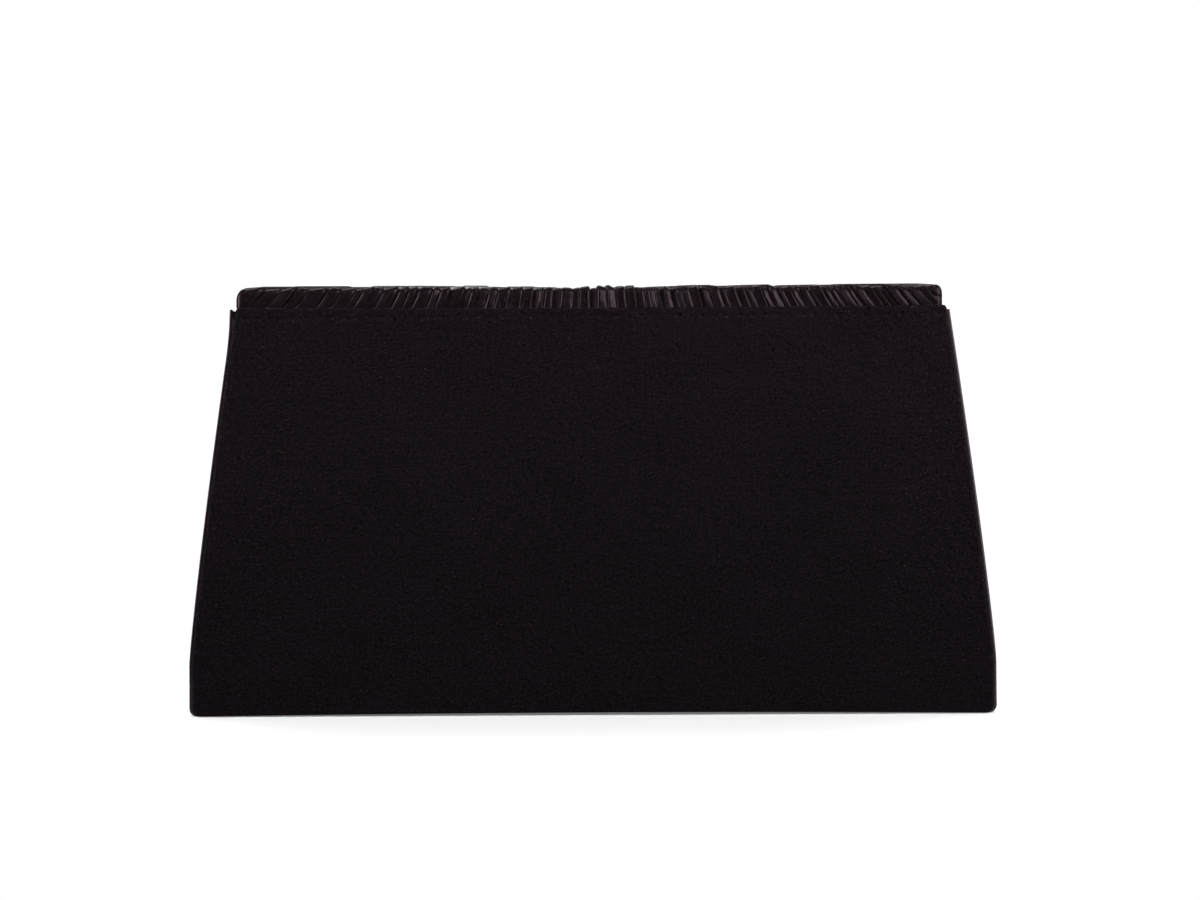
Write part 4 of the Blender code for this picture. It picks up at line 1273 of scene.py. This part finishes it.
def area_light(name, place, aim, size, power, glossy=True):
    lamp = bpy.data.lights.new(name, "AREA")
    lamp.shape = "RECTANGLE"
    lamp.size, lamp.size_y = size
    lamp.energy = power
    obj = new_object(name, lamp)
    obj.location = place
    obj.rotation_euler = (Vector(aim) - Vector(place)).to_track_quat("-Z", "Y").to_euler()
    obj.visible_camera = False
    obj.visible_glossy = glossy
    return obj


area_light("key", (-0.1, -0.62, 0.62), (0, 0, 0.06), (0.6, 0.3), 0.5)
near = area_light("near", (0, -0.7, 0.72), (0, -0.012, 0.145), (1.2, 0.04), 1.5, glossy=False)
near.data.spread = math.radians(20)
area_light("top", (0.1, 0.35, 1.3), (0, 0, 0.06), (1.4, 0.8), 18.5, glossy=False)
area_light("rear", (-0.25, 0.65, 1.12), (0, 0, 0.08), (1.0, 0.5), 7)
area_light("front", (0.85, 1.0, 0.6), (0, 0.02, 0.07), (0.9, 0.7), 9)
area_light("left_strip", (-1.1, -0.35, 0.35), (0, 0, 0.09), (0.25, 0.7), 14)
area_light("right_strip", (0.95, -0.7, 0.42), (0, 0, 0.09), (0.75, 0.75), 16.5)


# Surroundings: white to the camera, dim as a light

SURROUND_LIGHT = 0.08
SURROUND_SEEN = 1.05
WHITE = (1.0, 1.0, 1.0, 1.0)

nodes = Nodes(bpy.data.worlds.new("studio"))
bpy.context.scene.world = nodes.owner
dim = nodes.tree.nodes["Background"]
white = nodes.add("Background")
for shade, strength in ((dim, SURROUND_LIGHT), (white, SURROUND_SEEN)):
    nodes.fill(shade.inputs["Color"], WHITE)
    nodes.fill(shade.inputs["Strength"], strength)
seen = nodes.add("LightPath").outputs["Is Camera Ray"]
nodes.mix(seen, dim.outputs["Background"], white.outputs["Background"])


# Floor: it fades into the white surroundings

FLOOR_HALF = 6
FADE_START = 0.12
FADE_END = 0.28

floor_mesh = bpy.data.meshes.new("floor")
corners = [(x * FLOOR_HALF, y * FLOOR_HALF, 0) for x, y in ((-1, -1), (1, -1), (1, 1), (-1, 1))]
floor_mesh.from_pydata(corners, [], [(0, 1, 2, 3)])
floor = new_object("floor", floor_mesh)
nodes = Nodes(bpy.data.materials.new("floor"))
nodes.set(Base_Color=(0.9, 0.9, 0.9, 1.0), Roughness=0.22, Specular_IOR_Level=0.2)
nodes.set(Emission_Color=WHITE, Emission_Strength=0.155)
away = nodes.add("VectorMath", {0: nodes.add("TexCoord").outputs["Object"]}, operation="LENGTH")
fade = nodes.range(away.outputs["Value"], FADE_START, FADE_END, 0.0, 1.0)
nodes.mix(fade, nodes.shader.outputs["BSDF"], nodes.add("BsdfTransparent").outputs["BSDF"])
paint(floor, nodes.owner)
floor.visible_diffuse = False


# Camera

CAMERA_PLACE = (2.7 * MM, -1.3, 137.5 * MM)
CAMERA_DOWN = math.radians(2.28)
CAMERA_ROLL = math.radians(-0.3)

lens = bpy.data.cameras.new("camera")
lens.sensor_width = 36
lens.lens = 118.0
lens.clip_start = 0.05
lens.clip_end = 50
camera = new_object("camera", lens)
camera.location = CAMERA_PLACE
level_view = Euler((math.pi / 2 - CAMERA_DOWN, 0, 0)).to_matrix()
camera.rotation_euler = (level_view @ Euler((0, 0, CAMERA_ROLL)).to_matrix()).to_euler()
bpy.context.scene.camera = camera
bpy.context.scene.view_settings.view_transform = "Standard"
